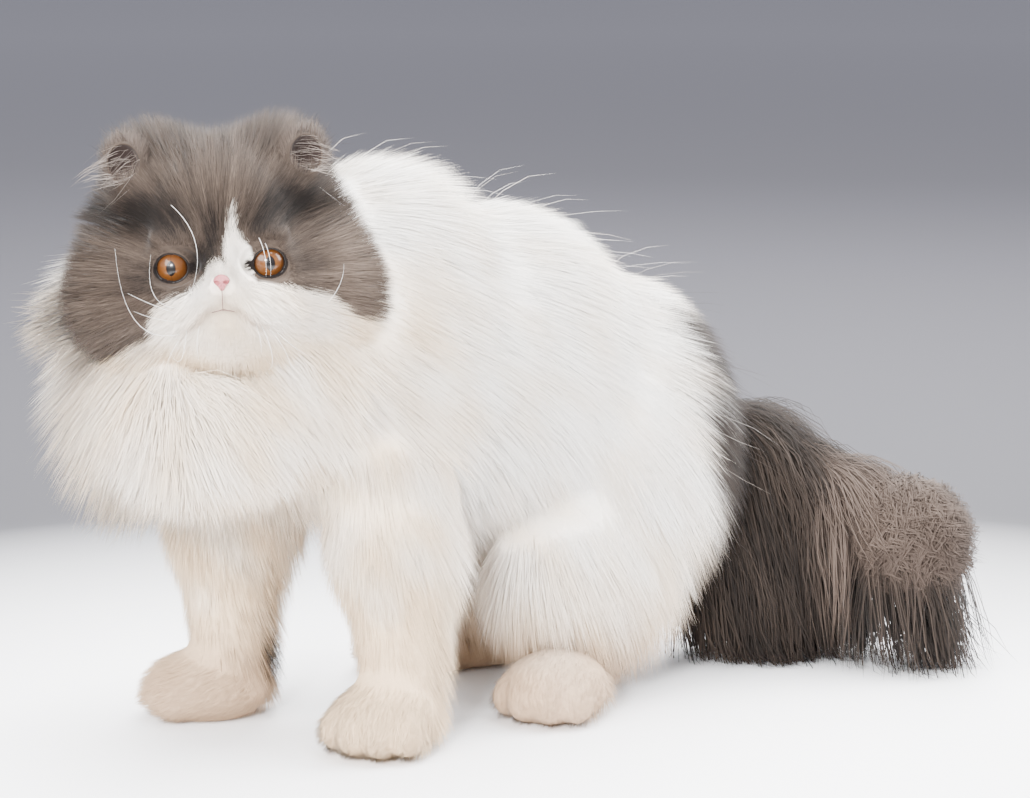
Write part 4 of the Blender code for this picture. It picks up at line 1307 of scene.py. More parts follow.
@dataclass
class Coat:
    """The whole coat, pelt by pelt, from the nose to the tail's tip."""

    head: Head
    body_lie: tuple = (0.0, 0.85, -0.55)
    leg_lie: tuple = (0.0, 0.25, -1.0)
    haunch_lie: tuple = (0.0, 0.3, -1.0)
    tail_lie: tuple = (0.22, 0.24, -0.95)
    tip_lie: tuple = (0.35, 0.25, -0.9)
    ear_lie: tuple = (0.0, 0.8, 0.7)
    neck_root: tuple = (0.0, -0.105, 0.222)
    nose_gap: float = 0.0064
    lid_gap: float = 0.84
    eye_near: float = 0.008
    eye_far: float = 0.027

    @staticmethod
    def combed(way: Sequence[float]) -> Callable[[Cut, Roots, Array], Growth]:
        """How hair grows that all lies one way."""

        def grow(cut: Cut, _: Roots, draw: Array) -> Growth:
            """The growth of such hair."""
            return cut.grown(cut.lengths(draw, draw), unit(np.array(way)))

        return grow

    def ear_tuft(self, cut: Cut, roots: Roots, draw: Array) -> Growth:
        """Pale hair that sweeps out of the ears, away from the middle of the head."""
        local = self.head.local(roots.place)
        way = np.column_stack((np.sign(local[:, 0]), np.full(len(draw), -0.32), 0.05 - 0.3 * draw))
        return cut.grown(cut.lengths(draw, draw * draw), unit(self.head.ways(way)))

    def clear_of_ears(self, roots: Roots, length: Array) -> Array:
        """Shortens the hair in front of the ears, so that their cups show."""
        for sign in SIGNS:
            gap = self.head.ear_mass(sign).distance(roots.place)
            ahead = self.head.in_ear(roots.place, sign)[:, 1]
            near = smooth_step(0.03, 0.004, gap) * smooth_step(0.006, -0.002, ahead)
            length = length * (1.0 - 0.8 * near)
        return length

    def from_eyes(self, local: Array, lie: Array) -> Array:
        """Turns a lie away from the eye openings where it is near one.

        Args:
            local: Places in the head's frame.
            lie: The ways that their hair lies, in the cat's frame.

        Returns:
            The turned ways.
        """
        x, y, _ = self.head.eye
        for sign in SIGNS:
            away = local - np.array((x * sign, y - 0.01, 0.0))
            far = np.linalg.norm(away * (1.0, 0.5, 1.0), axis=1)
            away[:, 1] += 0.004
            lie = unit(mixed(lie, unit(self.head.ways(away)), smooth_step(self.eye_far, self.eye_near, far)))
        return lie

    def _head_lie(self, local: Array, down: float) -> Array:
        """Away from the nose, out over the cheeks and up over the brow, and a little down."""
        way = np.column_stack((local[:, 0], 0.6 * (local[:, 1] + 0.03), local[:, 2] + 0.01))
        return unit(self.head.ways(way) + np.array((0.0, 0.0, -down)))

    def muzzle(self, cut: Cut, roots: Roots, draw: Array) -> Growth:
        """Very short on the nose's bridge, longer over the pads and chin."""
        local = self.head.local(roots.place)
        away = np.linalg.norm(local - np.array((0.0, -0.046, -0.006)), axis=1)
        length = cut.lengths(draw, (away - 0.008) / 0.03)
        length = length * (1.0 - 0.5 * smooth_step(0.006, 0.002, self.head.from_mouth(local)))
        return cut.grown(length, self.from_eyes(local, self._head_lie(local, 0.008)))

    def moustache(self, cut: Cut, roots: Roots, draw: Array) -> Growth:
        """Longer locks that flow out and down from the pads."""
        local = self.head.local(roots.place)
        way = np.column_stack((local[:, 0] * 2.4, np.full(len(draw), 0.004), local[:, 2] - 0.002))
        lie = unit(self.head.ways(way) + np.array((0.0, 0.0, -0.01)))
        return cut.grown(cut.lengths(draw, (np.abs(local[:, 0]) - 0.006) / 0.018), lie)

    def mane(self, cut: Cut, roots: Roots, draw: Array) -> Growth:
        """White hair from behind the cheeks and crown, which fringes them and falls into the ruff."""
        local = self.head.local(roots.place)
        way = np.column_stack((local[:, 0] * 1.2, 0.4 * local[:, 1] + 0.004, 0.55 * local[:, 2] - 0.01))
        low = smooth_step(0.02, -0.03, local[:, 2])
        return cut.grown(cut.lengths(draw, low), unit(self.head.ways(way)), droop=0.06 + 0.16 * low)

    def face(self, cut: Cut, roots: Roots, draw: Array) -> Growth:
        """Short round the eyes, longer towards the cheeks and brow."""
        local = self.head.local(roots.place)
        x, y, _ = self.head.eye
        eye = from_pair(local, (x, y - 0.008, 0.0))
        back = (local[:, 1] + 0.02) / 0.04
        length = cut.lengths(draw, (eye - 0.012) / 0.042 + 0.3 * back)
        lie = self.from_eyes(local, self._head_lie(local, 0.004))
        lift = 0.34 + 0.12 * np.clip(back, 0.0, 1.0)
        way = unit(roots.normal * lift[:, None] + lie * (1.0 - lift[:, None]))
        length = np.minimum(length, self.head.fur_reach(local, way) * (0.85 + 0.15 * draw))
        return cut.grown(self.clear_of_ears(roots, length), lie, lift)

    def crown(self, cut: Cut, roots: Roots, draw: Array) -> Growth:
        """Out to the outline of the head's fur over the crown, the cheeks and the back of the head."""
        local = self.head.local(roots.place)
        lie = self._head_lie(local, 0.006)
        lift = 0.46 + 0.2 * smooth_step(-0.008, 0.026, local[:, 1])
        way = unit(roots.normal * lift[:, None] + lie * (1.0 - lift[:, None]))
        length = self.head.fur_reach(local, way) * (0.78 + 0.26 * draw)
        return cut.grown(np.maximum(self.clear_of_ears(roots, length), cut.short), lie, lift)

    def ruff(self, cut: Cut, roots: Roots, draw: Array) -> Growth:
        """The bib and ruff: hanging under the chin, out at the far cheek, swept back at the near side."""
        way = unit(roots.place - np.array(self.neck_root))
        above = smooth_step(0.2, 0.8, roots.normal[:, 2])
        near = smooth_step(0.05, 0.65, roots.normal[:, 0])
        high = smooth_step(0.2, 0.27, roots.place[:, 2])[:, None]
        hanging = way * 0.8 + np.array((-0.35, -0.3, -0.35)) * high
        hanging = hanging + np.array((-0.1, 0.0, -0.95)) * (1.0 - high)
        swept = way * 0.3 + np.array((0.05, 0.75, -0.55))
        lie = mixed(mixed(hanging, swept, near), np.array((0.0, 1.0, -0.05)), above)
        far = smooth_step(0.1, -0.7, roots.normal[:, 0])
        length = cut.lengths(draw, 0.2 * draw + 0.8 * far)
        return cut.grown(length, unit(lie), 0.36 + 0.16 * far + 0.04 * above)

    def side(self, cut: Cut, roots: Roots, draw: Array) -> Growth:
        """The long hair of the trunk, swept back and down, standing up along the back."""
        low = smooth_step(0.22, 0.12, roots.place[:, 2])
        above = smooth_step(0.35, 0.95, roots.normal[:, 2])
        forward = smooth_step(0.05, -0.08, roots.place[:, 1])
        lie = unit(unit(np.array(self.body_lie)) + np.outer(low, (0.0, -0.25, -0.55)))
        lift = 0.26 + 0.2 * above * (0.4 + 0.6 * forward)
        return cut.grown(cut.lengths(draw, low + 0.8 * above * forward), lie, lift, 0.06 + 0.2 * low)

    def foreleg(self, cut: Cut, roots: Roots, draw: Array) -> Growth:
        """Shorter down the front of the forelegs and feathered behind."""
        behind = smooth_step(-0.2, 0.7, roots.normal[:, 1])
        high = smooth_step(0.05, 0.15, roots.place[:, 2])
        lift = 0.3 + 0.08 * behind + 0.1 * smooth_step(0.0, -0.7, roots.normal[:, 0])
        return cut.grown(cut.lengths(draw, 0.55 * behind + 0.5 * high), unit(np.array(self.leg_lie)), lift)

    def paw(self, cut: Cut, roots: Roots, draw: Array) -> Growth:
        """Short over the toes, running down and forward."""
        x, _, z = roots.place.T
        toes = unit(np.column_stack((x * 0.4, np.full(len(draw), -0.04), np.full(len(draw), -0.012))))
        behind = smooth_step(0.1, 0.9, roots.normal[:, 1])
        lie = unit(mixed(toes, np.array((0.0, 0.5, -0.8)), behind))
        return cut.grown(cut.lengths(draw, z / 0.05 + behind * 0.8), lie)

    def tail(self, cut: Cut, roots: Roots, draw: Array) -> Growth:
        """The plume, falling from the tail to the floor."""
        under = smooth_step(0.5, -0.5, roots.normal[:, 2])
        length = cut.lengths(draw, 0.15 + 0.85 * under) * (0.75 + 0.35 * draw)
        return cut.grown(length, unit(np.array(self.tail_lie)), droop=0.3 + 0.3 * under)

    def wisp(self, cut: Cut, roots: Roots, draw: Array) -> Growth:
        """Single long hairs that stand out past the coat."""
        lie = unit(unit(np.array(self.body_lie)) + roots.normal * 0.4)
        return cut.grown(cut.lengths(draw, draw), lie, 0.3 + 0.22 * draw)

    def pelts(self, zones: Zones) -> list[Pelt]:
        """Every stretch of the coat in the order that it is made."""
        face = {"on_head": 1.0}
        cap = {**face, "slot": Slot.GREY}
        plume = {"on_tail": 1.0, "slot": Slot.GREY}
        outside = {**cap, "tint": ((50, 42, 37), (92, 80, 72))}
        inside = {**face, "tint": ((60, 50, 45), (176, 164, 154))}
        muzzle = Cut(0.0032, 0.0125, 0.026, 0.00024, lift=0.32, droop=0.14)
        moustache = Cut(0.009, 0.022, 0.01, 0.0003, droop=0.18, clump=0.45)
        cheeks = Cut(0.0036, 0.024, 0.02, 0.00032, droop=0.05)
        crown = Cut(0.006, 0.062, 0.006, 0.00032, droop=0.04, clump=0.3)
        mane = Cut(0.03, 0.05, 0.005, 0.0003, lift=0.4, clump=0.3, wave=0.05)
        ears = Cut(0.005, 0.013, 0.02, 0.00035, lift=0.34, clump=0.3)
        ear_tufts = Cut(0.008, 0.036, 0.002, 0.00018, lift=0.4, droop=0.1, clump=0.5, wave=0.06)
        ruff = Cut(0.036, 0.058, 0.006, 0.0003, droop=0.24, clump=0.34, wave=0.05)
        side = Cut(0.032, 0.048, 0.006, 0.00032, clump=0.12, wave=0.03)
        haunch = Cut(0.03, 0.048, 0.006, 0.00032, lift=0.28, droop=0.2, clump=0.12, wave=0.03)
        foreleg = Cut(0.016, 0.036, 0.006, 0.00032, droop=0.14, clump=0.24)
        paw = Cut(0.0075, 0.015, 0.02, 0.0003, lift=0.32, droop=0.12, clump=0.45)
        tail = Cut(0.05, 0.09, 0.005, 0.0004, lift=0.36, clump=0.45, wave=0.05)
        brush = Cut(0.011, 0.019, 0.0, 0.001, lift=0.52, droop=0.1, clump=0.45, wave=0.03, curl=0.3)
        wisps = Cut(0.034, 0.054, 0.0, 0.0002, droop=0.12, clump=0.0)
        ear_lie = self.head.axes @ Vector(self.ear_lie)
        rows = [
            ("muzzle", 30000, 1, 12, zones.front(), self.muzzle, muzzle, face),
            ("moustache", 2200, 3, 12, zones.pads(), self.moustache, moustache, face),
            ("face", 45000, 1, 12, zones.middle(), self.face, cheeks, cap),
            ("crown", 36000, 1, 14, zones.rear(), self.crown, crown, cap),
            ("mane", 3600, 2, 12, zones.behind_head(), self.mane, mane, face),
            ("ears", 6000, 1, 10, zones.ear_backs(), self.combed(ear_lie), ears, outside),
            ("ear_tufts", 180, 3, 10, zones.ear_hollows(), self.ear_tuft, ear_tufts, inside),
            ("ruff", 14500, 2, 16, zones.one("neck"), self.ruff, ruff, {}),
            ("side_left", 32000, 1, 18, zones.half(1.0), self.side, side, {}),
            ("side_right", 32000, 1, 18, zones.half(-1.0), self.side, side, {}),
            ("haunches", 28000, 1, 16, zones.pair("haunch"), self.combed(self.haunch_lie), haunch, {}),
            ("forelegs", 26000, 1, 12, zones.pair("foreleg"), self.foreleg, foreleg, {}),
            ("forepaws", 14000, 1, 8, zones.pair("forepaw"), self.paw, paw, {}),
            ("hindpaws", 10000, 1, 8, zones.pair("hindpaw"), self.paw, paw, {}),
            ("tail", 7800, 3, 16, zones.falling(), self.tail, tail, plume),
            ("brush", 7600, 3, 12, zones.one("tail_tip"), self.combed(self.tip_lie), brush, plume),
            ("wisps", 520, 3, 8, zones.outer(), self.wisp, wisps, {}),
        ]
        return [Pelt(f"fur_{row[0]}", *row[1:-1], **row[-1]) for row in rows]

    def build(self, field: Field, tufts: Tufts) -> list[tuple[bpy.types.Object, Slot]]:
        """Makes every pelt over the skin.

        Args:
            field: The skin to draw roots from.
            tufts: What makes and colours them.

        Returns:
            The pieces, each with its slot.
        """
        zones, pieces = Zones(field, self.head), []
        bare = zones.bare(self.nose_gap, self.lid_gap)
        for number, pelt in enumerate(self.pelts(zones)):
            rng = np.random.default_rng(SEED + number)
            roots = field.draw(pelt.weight * bare, pelt.count, SEED * 31 + number)
            growth = pelt.growth(pelt.cut, roots, rng.random(pelt.count))
            pieces.append((tufts.mesh(roots, growth, pelt, SEED * 57 + number), pelt.slot))
            LOG.info("%s: %d tufts", pelt.name, pelt.count)
        return pieces


class Recipe:
    """A material in the making, with short ways to add and join its nodes."""

    def __init__(self, name: str) -> None:
        """Starts the material."""
        self.material = bpy.data.materials.new(name)
        self.material.use_nodes = True
        self.tree = self.material.node_tree
        self.shader = self.tree.nodes["Principled BSDF"]

    def add(self, kind: str, **choices: str) -> bpy.types.Node:
        """A new node with some of its choices made."""
        node = self.tree.nodes.new(f"ShaderNode{kind}")
        for name, choice in choices.items():
            setattr(node, name, choice)
        return node

    def join(self, output: bpy.types.NodeSocket, target: bpy.types.NodeSocket) -> None:
        """Joins an output to an input."""
        self.tree.links.new(output, target)

    def settle(self, values: dict[str, float]) -> None:
        """Sets sockets of the shader by name."""
        for name, value in values.items():
            self.shader.inputs[name].default_value = value

    def place(self) -> bpy.types.NodeSocket:
        """Where a spot lies on the piece."""
        return self.add("TexCoord").outputs["Object"]

    def grain(self, place: bpy.types.NodeSocket, scale: float, detail: float) -> bpy.types.NodeSocket:
        """Fine noise over the piece."""
        noise = self.add("TexNoise")
        noise.inputs["Scale"].default_value = scale
        noise.inputs["Detail"].default_value = detail
        self.join(place, noise.inputs["Vector"])
        return noise.outputs["Fac"]

    def relief(self, height: bpy.types.NodeSocket, strength: float, distance: float) -> None:
        """Raises the surface a little by a height."""
        bump = self.add("Bump")
        bump.inputs["Strength"].default_value = strength
        bump.inputs["Distance"].default_value = distance
        self.join(height, bump.inputs["Height"])
        self.join(bump.outputs["Normal"], self.shader.inputs["Normal"])

    def ramp(self, share: bpy.types.NodeSocket, stops: Sequence[tuple[float, Array]]) -> bpy.types.NodeSocket:
        """Colours along a share, from linear colours at some of its values."""
        node = self.add("ValToRGB")
        elements = node.color_ramp.elements
        elements.remove(elements[1])
        for number, (spot, colour) in enumerate(stops):
            stop = elements.new(spot) if number else elements[0]
            stop.position, stop.color = spot, (*colour, 1.0)
        self.join(share, node.inputs["Fac"])
        return node.outputs["Color"]

    def mix(
        self, first: bpy.types.NodeSocket, second: Array, share: bpy.types.NodeSocket,
    ) -> bpy.types.NodeSocket:
        """One colour over another by a share."""
        node = self.add("Mix", data_type="RGBA")
        node.inputs["B"].default_value = (*second, 1.0)
        self.join(share, node.inputs["Factor"])
        self.join(first, node.inputs["A"])
        return node.outputs["Result"]

    def sums(self, kind: str, *terms: object) -> bpy.types.NodeSocket:
        """One sum, whose terms are sockets or numbers."""
        node = self.add("Math", operation=kind)
        for socket, value in zip(node.inputs, terms):
            if isinstance(value, float):
                socket.default_value = value
            else:
                self.join(value, socket)
        return node.outputs[0]


@dataclass(frozen=True)
class Hair:
    """The finish of skin and coat: the painted marking with fine streaks, dull, with a faint sheen."""

    name: str
    roughness: float = 0.72
    sheen: float = 0.06
    specular: float = 0.12
    streak: float = 420.0
    streak_depth: float = 0.1
    bump: float = 0.0

    def material(self) -> bpy.types.Material:
        """The finish as a material that reads the colour painted on the piece."""
        recipe = Recipe(self.name)
        paint = recipe.add("Attribute", attribute_name=PAINT)
        grain = recipe.grain(recipe.place(), self.streak, 3.0)
        spread = recipe.add("MapRange")
        spread.inputs["To Min"].default_value = 1.0 - self.streak_depth
        spread.inputs["To Max"].default_value = 1.0 + self.streak_depth
        recipe.join(grain, spread.inputs["Value"])
        scale = recipe.add("VectorMath", operation="SCALE")
        recipe.join(paint.outputs["Color"], scale.inputs[0])
        recipe.join(spread.outputs["Result"], scale.inputs["Scale"])
        recipe.join(scale.outputs["Vector"], recipe.shader.inputs["Base Color"])
        recipe.settle({
            "Roughness": self.roughness,
            "Sheen Weight": self.sheen,
            "Sheen Roughness": 0.5,
            "Specular IOR Level": self.specular,
        })
        if self.bump:
            recipe.relief(grain, self.bump, 0.0006)
        return recipe.material


@dataclass(frozen=True)
class Iris:
    """The eye's finish: a slit pupil in a copper iris with a dark rim and painted light low in the iris,
    under a wet coat.
    """

    name: str
    copper: tuple = (88, 50, 18)
    amber: tuple = (116, 70, 28)
    rim: tuple = (14, 7, 4)
    pupil: tuple = (0.004, 0.003, 0.003)
    pupil_wide: float = 0.0026
    pupil_high: float = 0.0041
    pupil_edge: tuple = (-0.00025, 0.0002)
    iris_radius: float = 0.0083
    fibres: float = 900.0

    def material(self, centre: Vector, turn: Matrix) -> bpy.types.Material:
        """The finish centred on one eye.

        Args:
            centre: The eye's centre where the mesh has it.
            turn: The eye's frame.

        Returns:
            The material.
        """
        recipe = Recipe(self.name)
        sums, place = recipe.sums, recipe.place()
        aim = recipe.add("Mapping", vector_type="TEXTURE")
        aim.inputs["Location"].default_value = centre
        aim.inputs["Rotation"].default_value = turn.to_euler("XYZ")
        recipe.join(place, aim.inputs["Vector"])
        split = recipe.add("SeparateXYZ")
        recipe.join(aim.outputs["Vector"], split.inputs["Vector"])
        x, z = split.outputs["X"], split.outputs["Z"]
        ring = sums("SQRT", sums("ADD", sums("MULTIPLY", x, x), sums("MULTIPLY", z, z)), 0.0)
        uneven = sums("MULTIPLY", sums("SUBTRACT", recipe.grain(place, self.fibres, 4.0), 0.5), 0.1)
        share = sums("ADD", sums("DIVIDE", ring, self.iris_radius), uneven)
        copper, amber = linear(*self.copper), linear(*self.amber)
        stops = ((0.25, amber * 0.8), (0.6, copper), (0.84, copper * 0.75), (1.0, linear(*self.rim)))
        # Painted light: the lower part of the iris turns lighter amber, where light through the cornea falls
        # on it.
        low = sums("MINIMUM", sums("MAXIMUM", sums("MULTIPLY", z, -40.0), 0.0), 0.45)
        lit_low_iris = recipe.mix(recipe.ramp(share, stops), amber, low)
        tall = sums("DIVIDE", z, self.pupil_high)
        narrow = sums("MAXIMUM", sums("SUBTRACT", 1.0, sums("MULTIPLY", tall, tall)), 0.0)
        waist = sums("MULTIPLY", sums("POWER", narrow, 0.65), self.pupil_wide)
        inside = recipe.add("MapRange")
        inside.inputs["From Min"].default_value, inside.inputs["From Max"].default_value = self.pupil_edge
        recipe.join(sums("SUBTRACT", waist, sums("ABSOLUTE", x, 0.0)), inside.inputs["Value"])
        final = recipe.mix(lit_low_iris, self.pupil, inside.outputs["Result"])
        recipe.join(final, recipe.shader.inputs["Base Color"])
        recipe.settle({
            "Roughness": 0.35,
            "Specular IOR Level": 0.2,
            "Coat Weight": 1.0,
            "Coat Roughness": 0.03,
            "Coat IOR": 1.37,
        })
        return recipe.material


@dataclass(frozen=True)
class Flat:
    """A plain soft finish with fine grain and bump: leather, rims, lips and whiskers."""

    name: str
    low: tuple
    high: tuple
    roughness: float
    scale: float
    bump: float = 0.0
    coat: float = 0.0

    def material(self) -> bpy.types.Material:
        """The finish as a material."""
        recipe = Recipe(self.name)
        grain = recipe.grain(recipe.place(), self.scale, 4.0)
        tone = recipe.ramp(grain, ((0.3, linear(*self.low)), (0.7, linear(*self.high))))
        recipe.join(tone, recipe.shader.inputs["Base Color"])
        recipe.settle({"Roughness": self.roughness, "Coat Weight": self.coat, "Coat Roughness": 0.25})
        if self.bump:
            recipe.relief(grain, self.bump, 0.0003)
        return recipe.material


@dataclass
class Features:
    """The eyes, their rims, the nose leather, the lips and the whiskers."""

    head: Head
    shift: Array
    cornea_radius: float = 0.0095
    cornea_rise: float = 0.0007
    rim_thick: float = 0.00055
    rim_rise: float = 0.0007
    rim_reach: tuple = (0.84, 0.89)
    rim_steps: int = 48
    nose_size: tuple = (0.0047, 0.004, 0.0046)
    nostril: tuple = (0.0026, -0.0032, 0.0004)
    nostril_radius: float = 0.0016
    nostril_depth: float = 0.0026
    crease_wide: float = 0.0009
    crease_depth: float = 0.0007
    lip_thick: float = 0.0004
    lip_ahead: float = 0.0008
    whisker_thick: float = 0.00014
    whisker_steps: int = 12
    whisker_arcs: tuple = (
        ((-0.024, -0.042, -0.034), (-0.0538, -0.056, -0.0383), (-0.0549, -0.044, 0.0134)),
        ((-0.022, -0.044, -0.02), (-0.042, -0.058, -0.018), (-0.0361, -0.054, 0.0099)),
        ((-0.022, -0.044, -0.024), (-0.04, -0.056, -0.015), (-0.0497, -0.05, -0.0097)),
        ((-0.022, -0.043, -0.028), (-0.038, -0.054, -0.024), (-0.047, -0.046, -0.02)),
        ((-0.0243, -0.029, 0.0336), (-0.0034, -0.064, 0.0163), (-0.0173, -0.056, -0.0126)),
        ((0.0203, -0.03, 0.0157), (0.025, -0.052, 0.008), (0.0237, -0.048, -0.0051)),
        ((0.0237, -0.029, 0.0122), (0.0275, -0.05, 0.005), (0.026, -0.047, -0.0051)),
        ((0.056, -0.028, -0.023), (0.065, -0.042, -0.012), (0.0654, -0.038, -0.0016)),
        ((-0.025, -0.042, -0.038), (-0.031, -0.052, -0.046), (-0.0335, -0.05, -0.0549)),
        ((-0.013, -0.044, -0.03), (-0.016, -0.054, -0.04), (-0.0139, -0.052, -0.0479)),
        ((-0.02, -0.043, -0.032), (-0.023, -0.056, -0.056), (-0.029, -0.054, -0.042)),
        ((0.024, -0.042, -0.034), (0.035, -0.056, -0.046), (0.0353, -0.052, -0.0618)),
        ((0.028, -0.041, -0.036), (0.038, -0.05, -0.046), (0.0463, -0.044, -0.0502)),
        ((0.017, -0.044, -0.031), (0.02, -0.056, -0.04), (0.0185, -0.054, -0.0468)),
        ((0.02, -0.043, -0.032), (0.028, -0.058, -0.05), (0.022, -0.056, -0.054)),
    )

    def finished(self, bm: bmesh.types.BMesh, name: str, finish: bpy.types.Material) -> bpy.types.Object:
        """Turns a bmesh into a smooth piece with its finish."""
        bmesh.ops.recalc_face_normals(bm, faces=bm.faces)
        mesh = bpy.data.meshes.new(name)
        bm.to_mesh(mesh)
        bm.free()
        rounded(mesh)
        mesh.materials.append(finish)
        return shown(name, mesh)

    def eye(self, side: str, sign: float) -> bpy.types.Object:
        """An eyeball with a slightly bulging cornea."""
        bm = bmesh.new()
        centre, gaze = self.head.eye_centre(sign), self.head.gaze(sign)
        bmesh.ops.create_uvsphere(bm, u_segments=48, v_segments=32, radius=self.head.eye_radius)
        bmesh.ops.rotate(bm, verts=bm.verts, matrix=Matrix.Rotation(math.radians(90.0), 3, "X"))
        for vert in bm.verts:
            ring = math.hypot(vert.co.x, vert.co.z)
            if vert.co.y < 0.0 and ring < self.cornea_radius:
                vert.co.y -= self.cornea_rise * (1.0 - (ring / self.cornea_radius) ** 2) ** 2
        bmesh.ops.transform(bm, matrix=Matrix.Translation(centre) @ gaze.to_4x4(), verts=bm.verts)
        finish = Iris(f"iris_{side}").material(centre + Vector(self.shift), gaze)
        return self.finished(bm, f"eyeball_{side}", finish)

    def swept(
        self, bm: bmesh.types.BMesh, line: list[Vector], radii: list[float], closed: bool, sides: int = 6,
    ) -> None:
        """A tube along a line.

        Args:
            bm: Where it is made.
            line: Its middle.
            radii: Its radius at each point.
            closed: Whether its end meets its start.
            sides: How many corners it has round.
        """
        loops, count = [], len(line)
        for i, point in enumerate(line):
            before = line[i - 1] if closed or i else point
            after = line[(i + 1) % count] if closed or i < count - 1 else point
            turn = (after - before).to_track_quat("Z", "Y").to_matrix().to_4x4()
            at = Matrix.Translation(point) @ turn
            ring = bmesh.ops.create_circle(bm, segments=sides, radius=radii[i], matrix=at)
            loops.append(ring["verts"])
        pairs = list(zip(loops, loops[1:])) + ([(loops[-1], loops[0])] if closed else [])
        for pair in pairs:
            around = [(loop, vert, edge) for loop in pair for vert in loop for edge in vert.link_edges]
            rings = [edge for loop, vert, edge in around if edge.other_vert(vert) in loop]
            bmesh.ops.bridge_loops(bm, edges=list(set(rings)))
        if not closed:
            for loop in (loops[0], loops[-1]):
                bmesh.ops.contextual_create(bm, geom=loop)

    def rim(self, side: str, sign: float, finish: bpy.types.Material) -> bpy.types.Object:
        """The dark edge of the lids round one eye."""
        bm = bmesh.new()
        centre, gaze = self.head.eye_centre(sign), self.head.gaze(sign)
        wide, _, high = self.head.opening
        line = []
        for k in range(self.rim_steps):
            angle = 2.0 * math.pi * k / self.rim_steps
            x = wide * self.rim_reach[0] * math.cos(angle)
            z = high * self.rim_reach[1] * math.sin(angle)
            y = -math.sqrt((self.head.eye_radius + self.rim_rise) ** 2 - x * x - z * z)
            line.append(centre + gaze @ Vector((x, y, z)))
        self.swept(bm, line, [self.rim_thick] * self.rim_steps, True)
        return self.finished(bm, f"lid_rim_{side}", finish)

    def nose(self, finish: bpy.types.Material) -> bpy.types.Object:
        """The nose leather: a rounded triangle with nostrils at its sides and a crease below."""
        bm = bmesh.new()
        bmesh.ops.create_icosphere(bm, subdivisions=5, radius=1.0)
        wide, deep, high = self.nose_size
        for vert in bm.verts:
            x, y, z = vert.co
            narrow = 0.4 + 0.6 * float(smooth_step(-0.7, 0.4, np.array(z)))
            wing = 0.1 * math.exp(-((abs(x) - 0.85) / 0.25) ** 2) * (1.0 if z < 0.3 else 0.4)
            vert.co = Vector((x * narrow * wide, y * deep * (1.0 + wing), z * high))
        for sign in SIGNS:
            hole = Vector((self.nostril[0] * sign, *self.nostril[1:]))
            for vert in bm.verts:
                x, y, z = (spot - middle for spot, middle in zip(vert.co, hole))
                reach = Vector((x / 1.25, y * 0.6, z / 0.75)).length
                if reach < self.nostril_radius:
                    vert.co.y += self.nostril_depth * (1.0 - (reach / self.nostril_radius) ** 2) ** 0.7
        for vert in bm.verts:
            if abs(vert.co.x) < self.crease_wide and vert.co.y < 0.0:
                low = float(smooth_step(0.0012, -0.001, np.array(vert.co.z)))
                vert.co.y += self.crease_depth * (1.0 - abs(vert.co.x) / self.crease_wide) * low
        place = self.head.frame @ Matrix.Translation(self.head.nose)
        bmesh.ops.transform(bm, matrix=place, verts=bm.verts)
        return self.finished(bm, "nose_leather", finish)

    def mouth(self, finish: bpy.types.Material) -> bpy.types.Object:
        """The dark line of the lips and the groove from them to the nose."""
        bm = bmesh.new()
        ahead = self.head.axes @ Vector((0.0, -self.lip_ahead, 0.0))
        for sign in SIGNS:
            line = [self.head.place(x * sign, y, z) + ahead for x, y, z in self.head.mouth[:2]]
            radii = [self.lip_thick * (1.0 - 0.75 * i / len(line)) for i in range(len(line))]
            self.swept(bm, line, radii, False)
        groove = [self.head.place(0.0, -0.049, -0.01 - 0.004 * i) + ahead for i in range(4)]
        self.swept(bm, groove, [self.lip_thick * 0.7] * len(groove), False)
        return self.finished(bm, "lips", finish)

    def whiskers(self, finish: bpy.types.Material) -> bpy.types.Object:
        """Long curved whiskers, from the pads and brow, rising, drooping and crossing the face."""
        bm = bmesh.new()
        shares = [i / self.whisker_steps for i in range(self.whisker_steps + 1)]
        radii = [self.whisker_thick * (1.0 - 0.8 * share) for share in shares]
        for arc in self.whisker_arcs:
            root, middle, tip = (Vector(spot) for spot in arc)
            line = [
                self.head.frame @ (root * (1.0 - s) ** 2 + middle * 2.0 * s * (1.0 - s) + tip * s * s)
                for s in shares
            ]
            self.swept(bm, line, radii, False, 4)
        return self.finished(bm, "whiskers", finish)

    def build(self) -> list[tuple[bpy.types.Object, Slot]]:
        """Every feature with its slot: first the eyes, then the nose, then the rest."""
        dark = Flat("lid_rim", (12, 9, 8), (24, 18, 16), 0.45, 900.0, 0.3).material()
        pink = Flat("nose_leather", (158, 82, 88), (178, 104, 106), 0.55, 1400.0, 0.5, 0.15).material()
        lip = Flat("lips", (92, 66, 60), (116, 86, 78), 0.6, 900.0).material()
        pale = Flat("whisker", (236, 232, 226), (250, 248, 244), 0.4, 200.0).material()
        pieces = [(self.eye(side, sign), Slot.EYE) for side, sign in SIDES]
        pieces += [(self.nose(pink), Slot.NOSE)]
        pieces += [(self.rim(side, sign, dark), Slot.GREY) for side, sign in SIDES]
        pieces += [(self.whiskers(pale), Slot.WHITE), (self.mouth(lip), Slot.NOSE)]
        return pieces


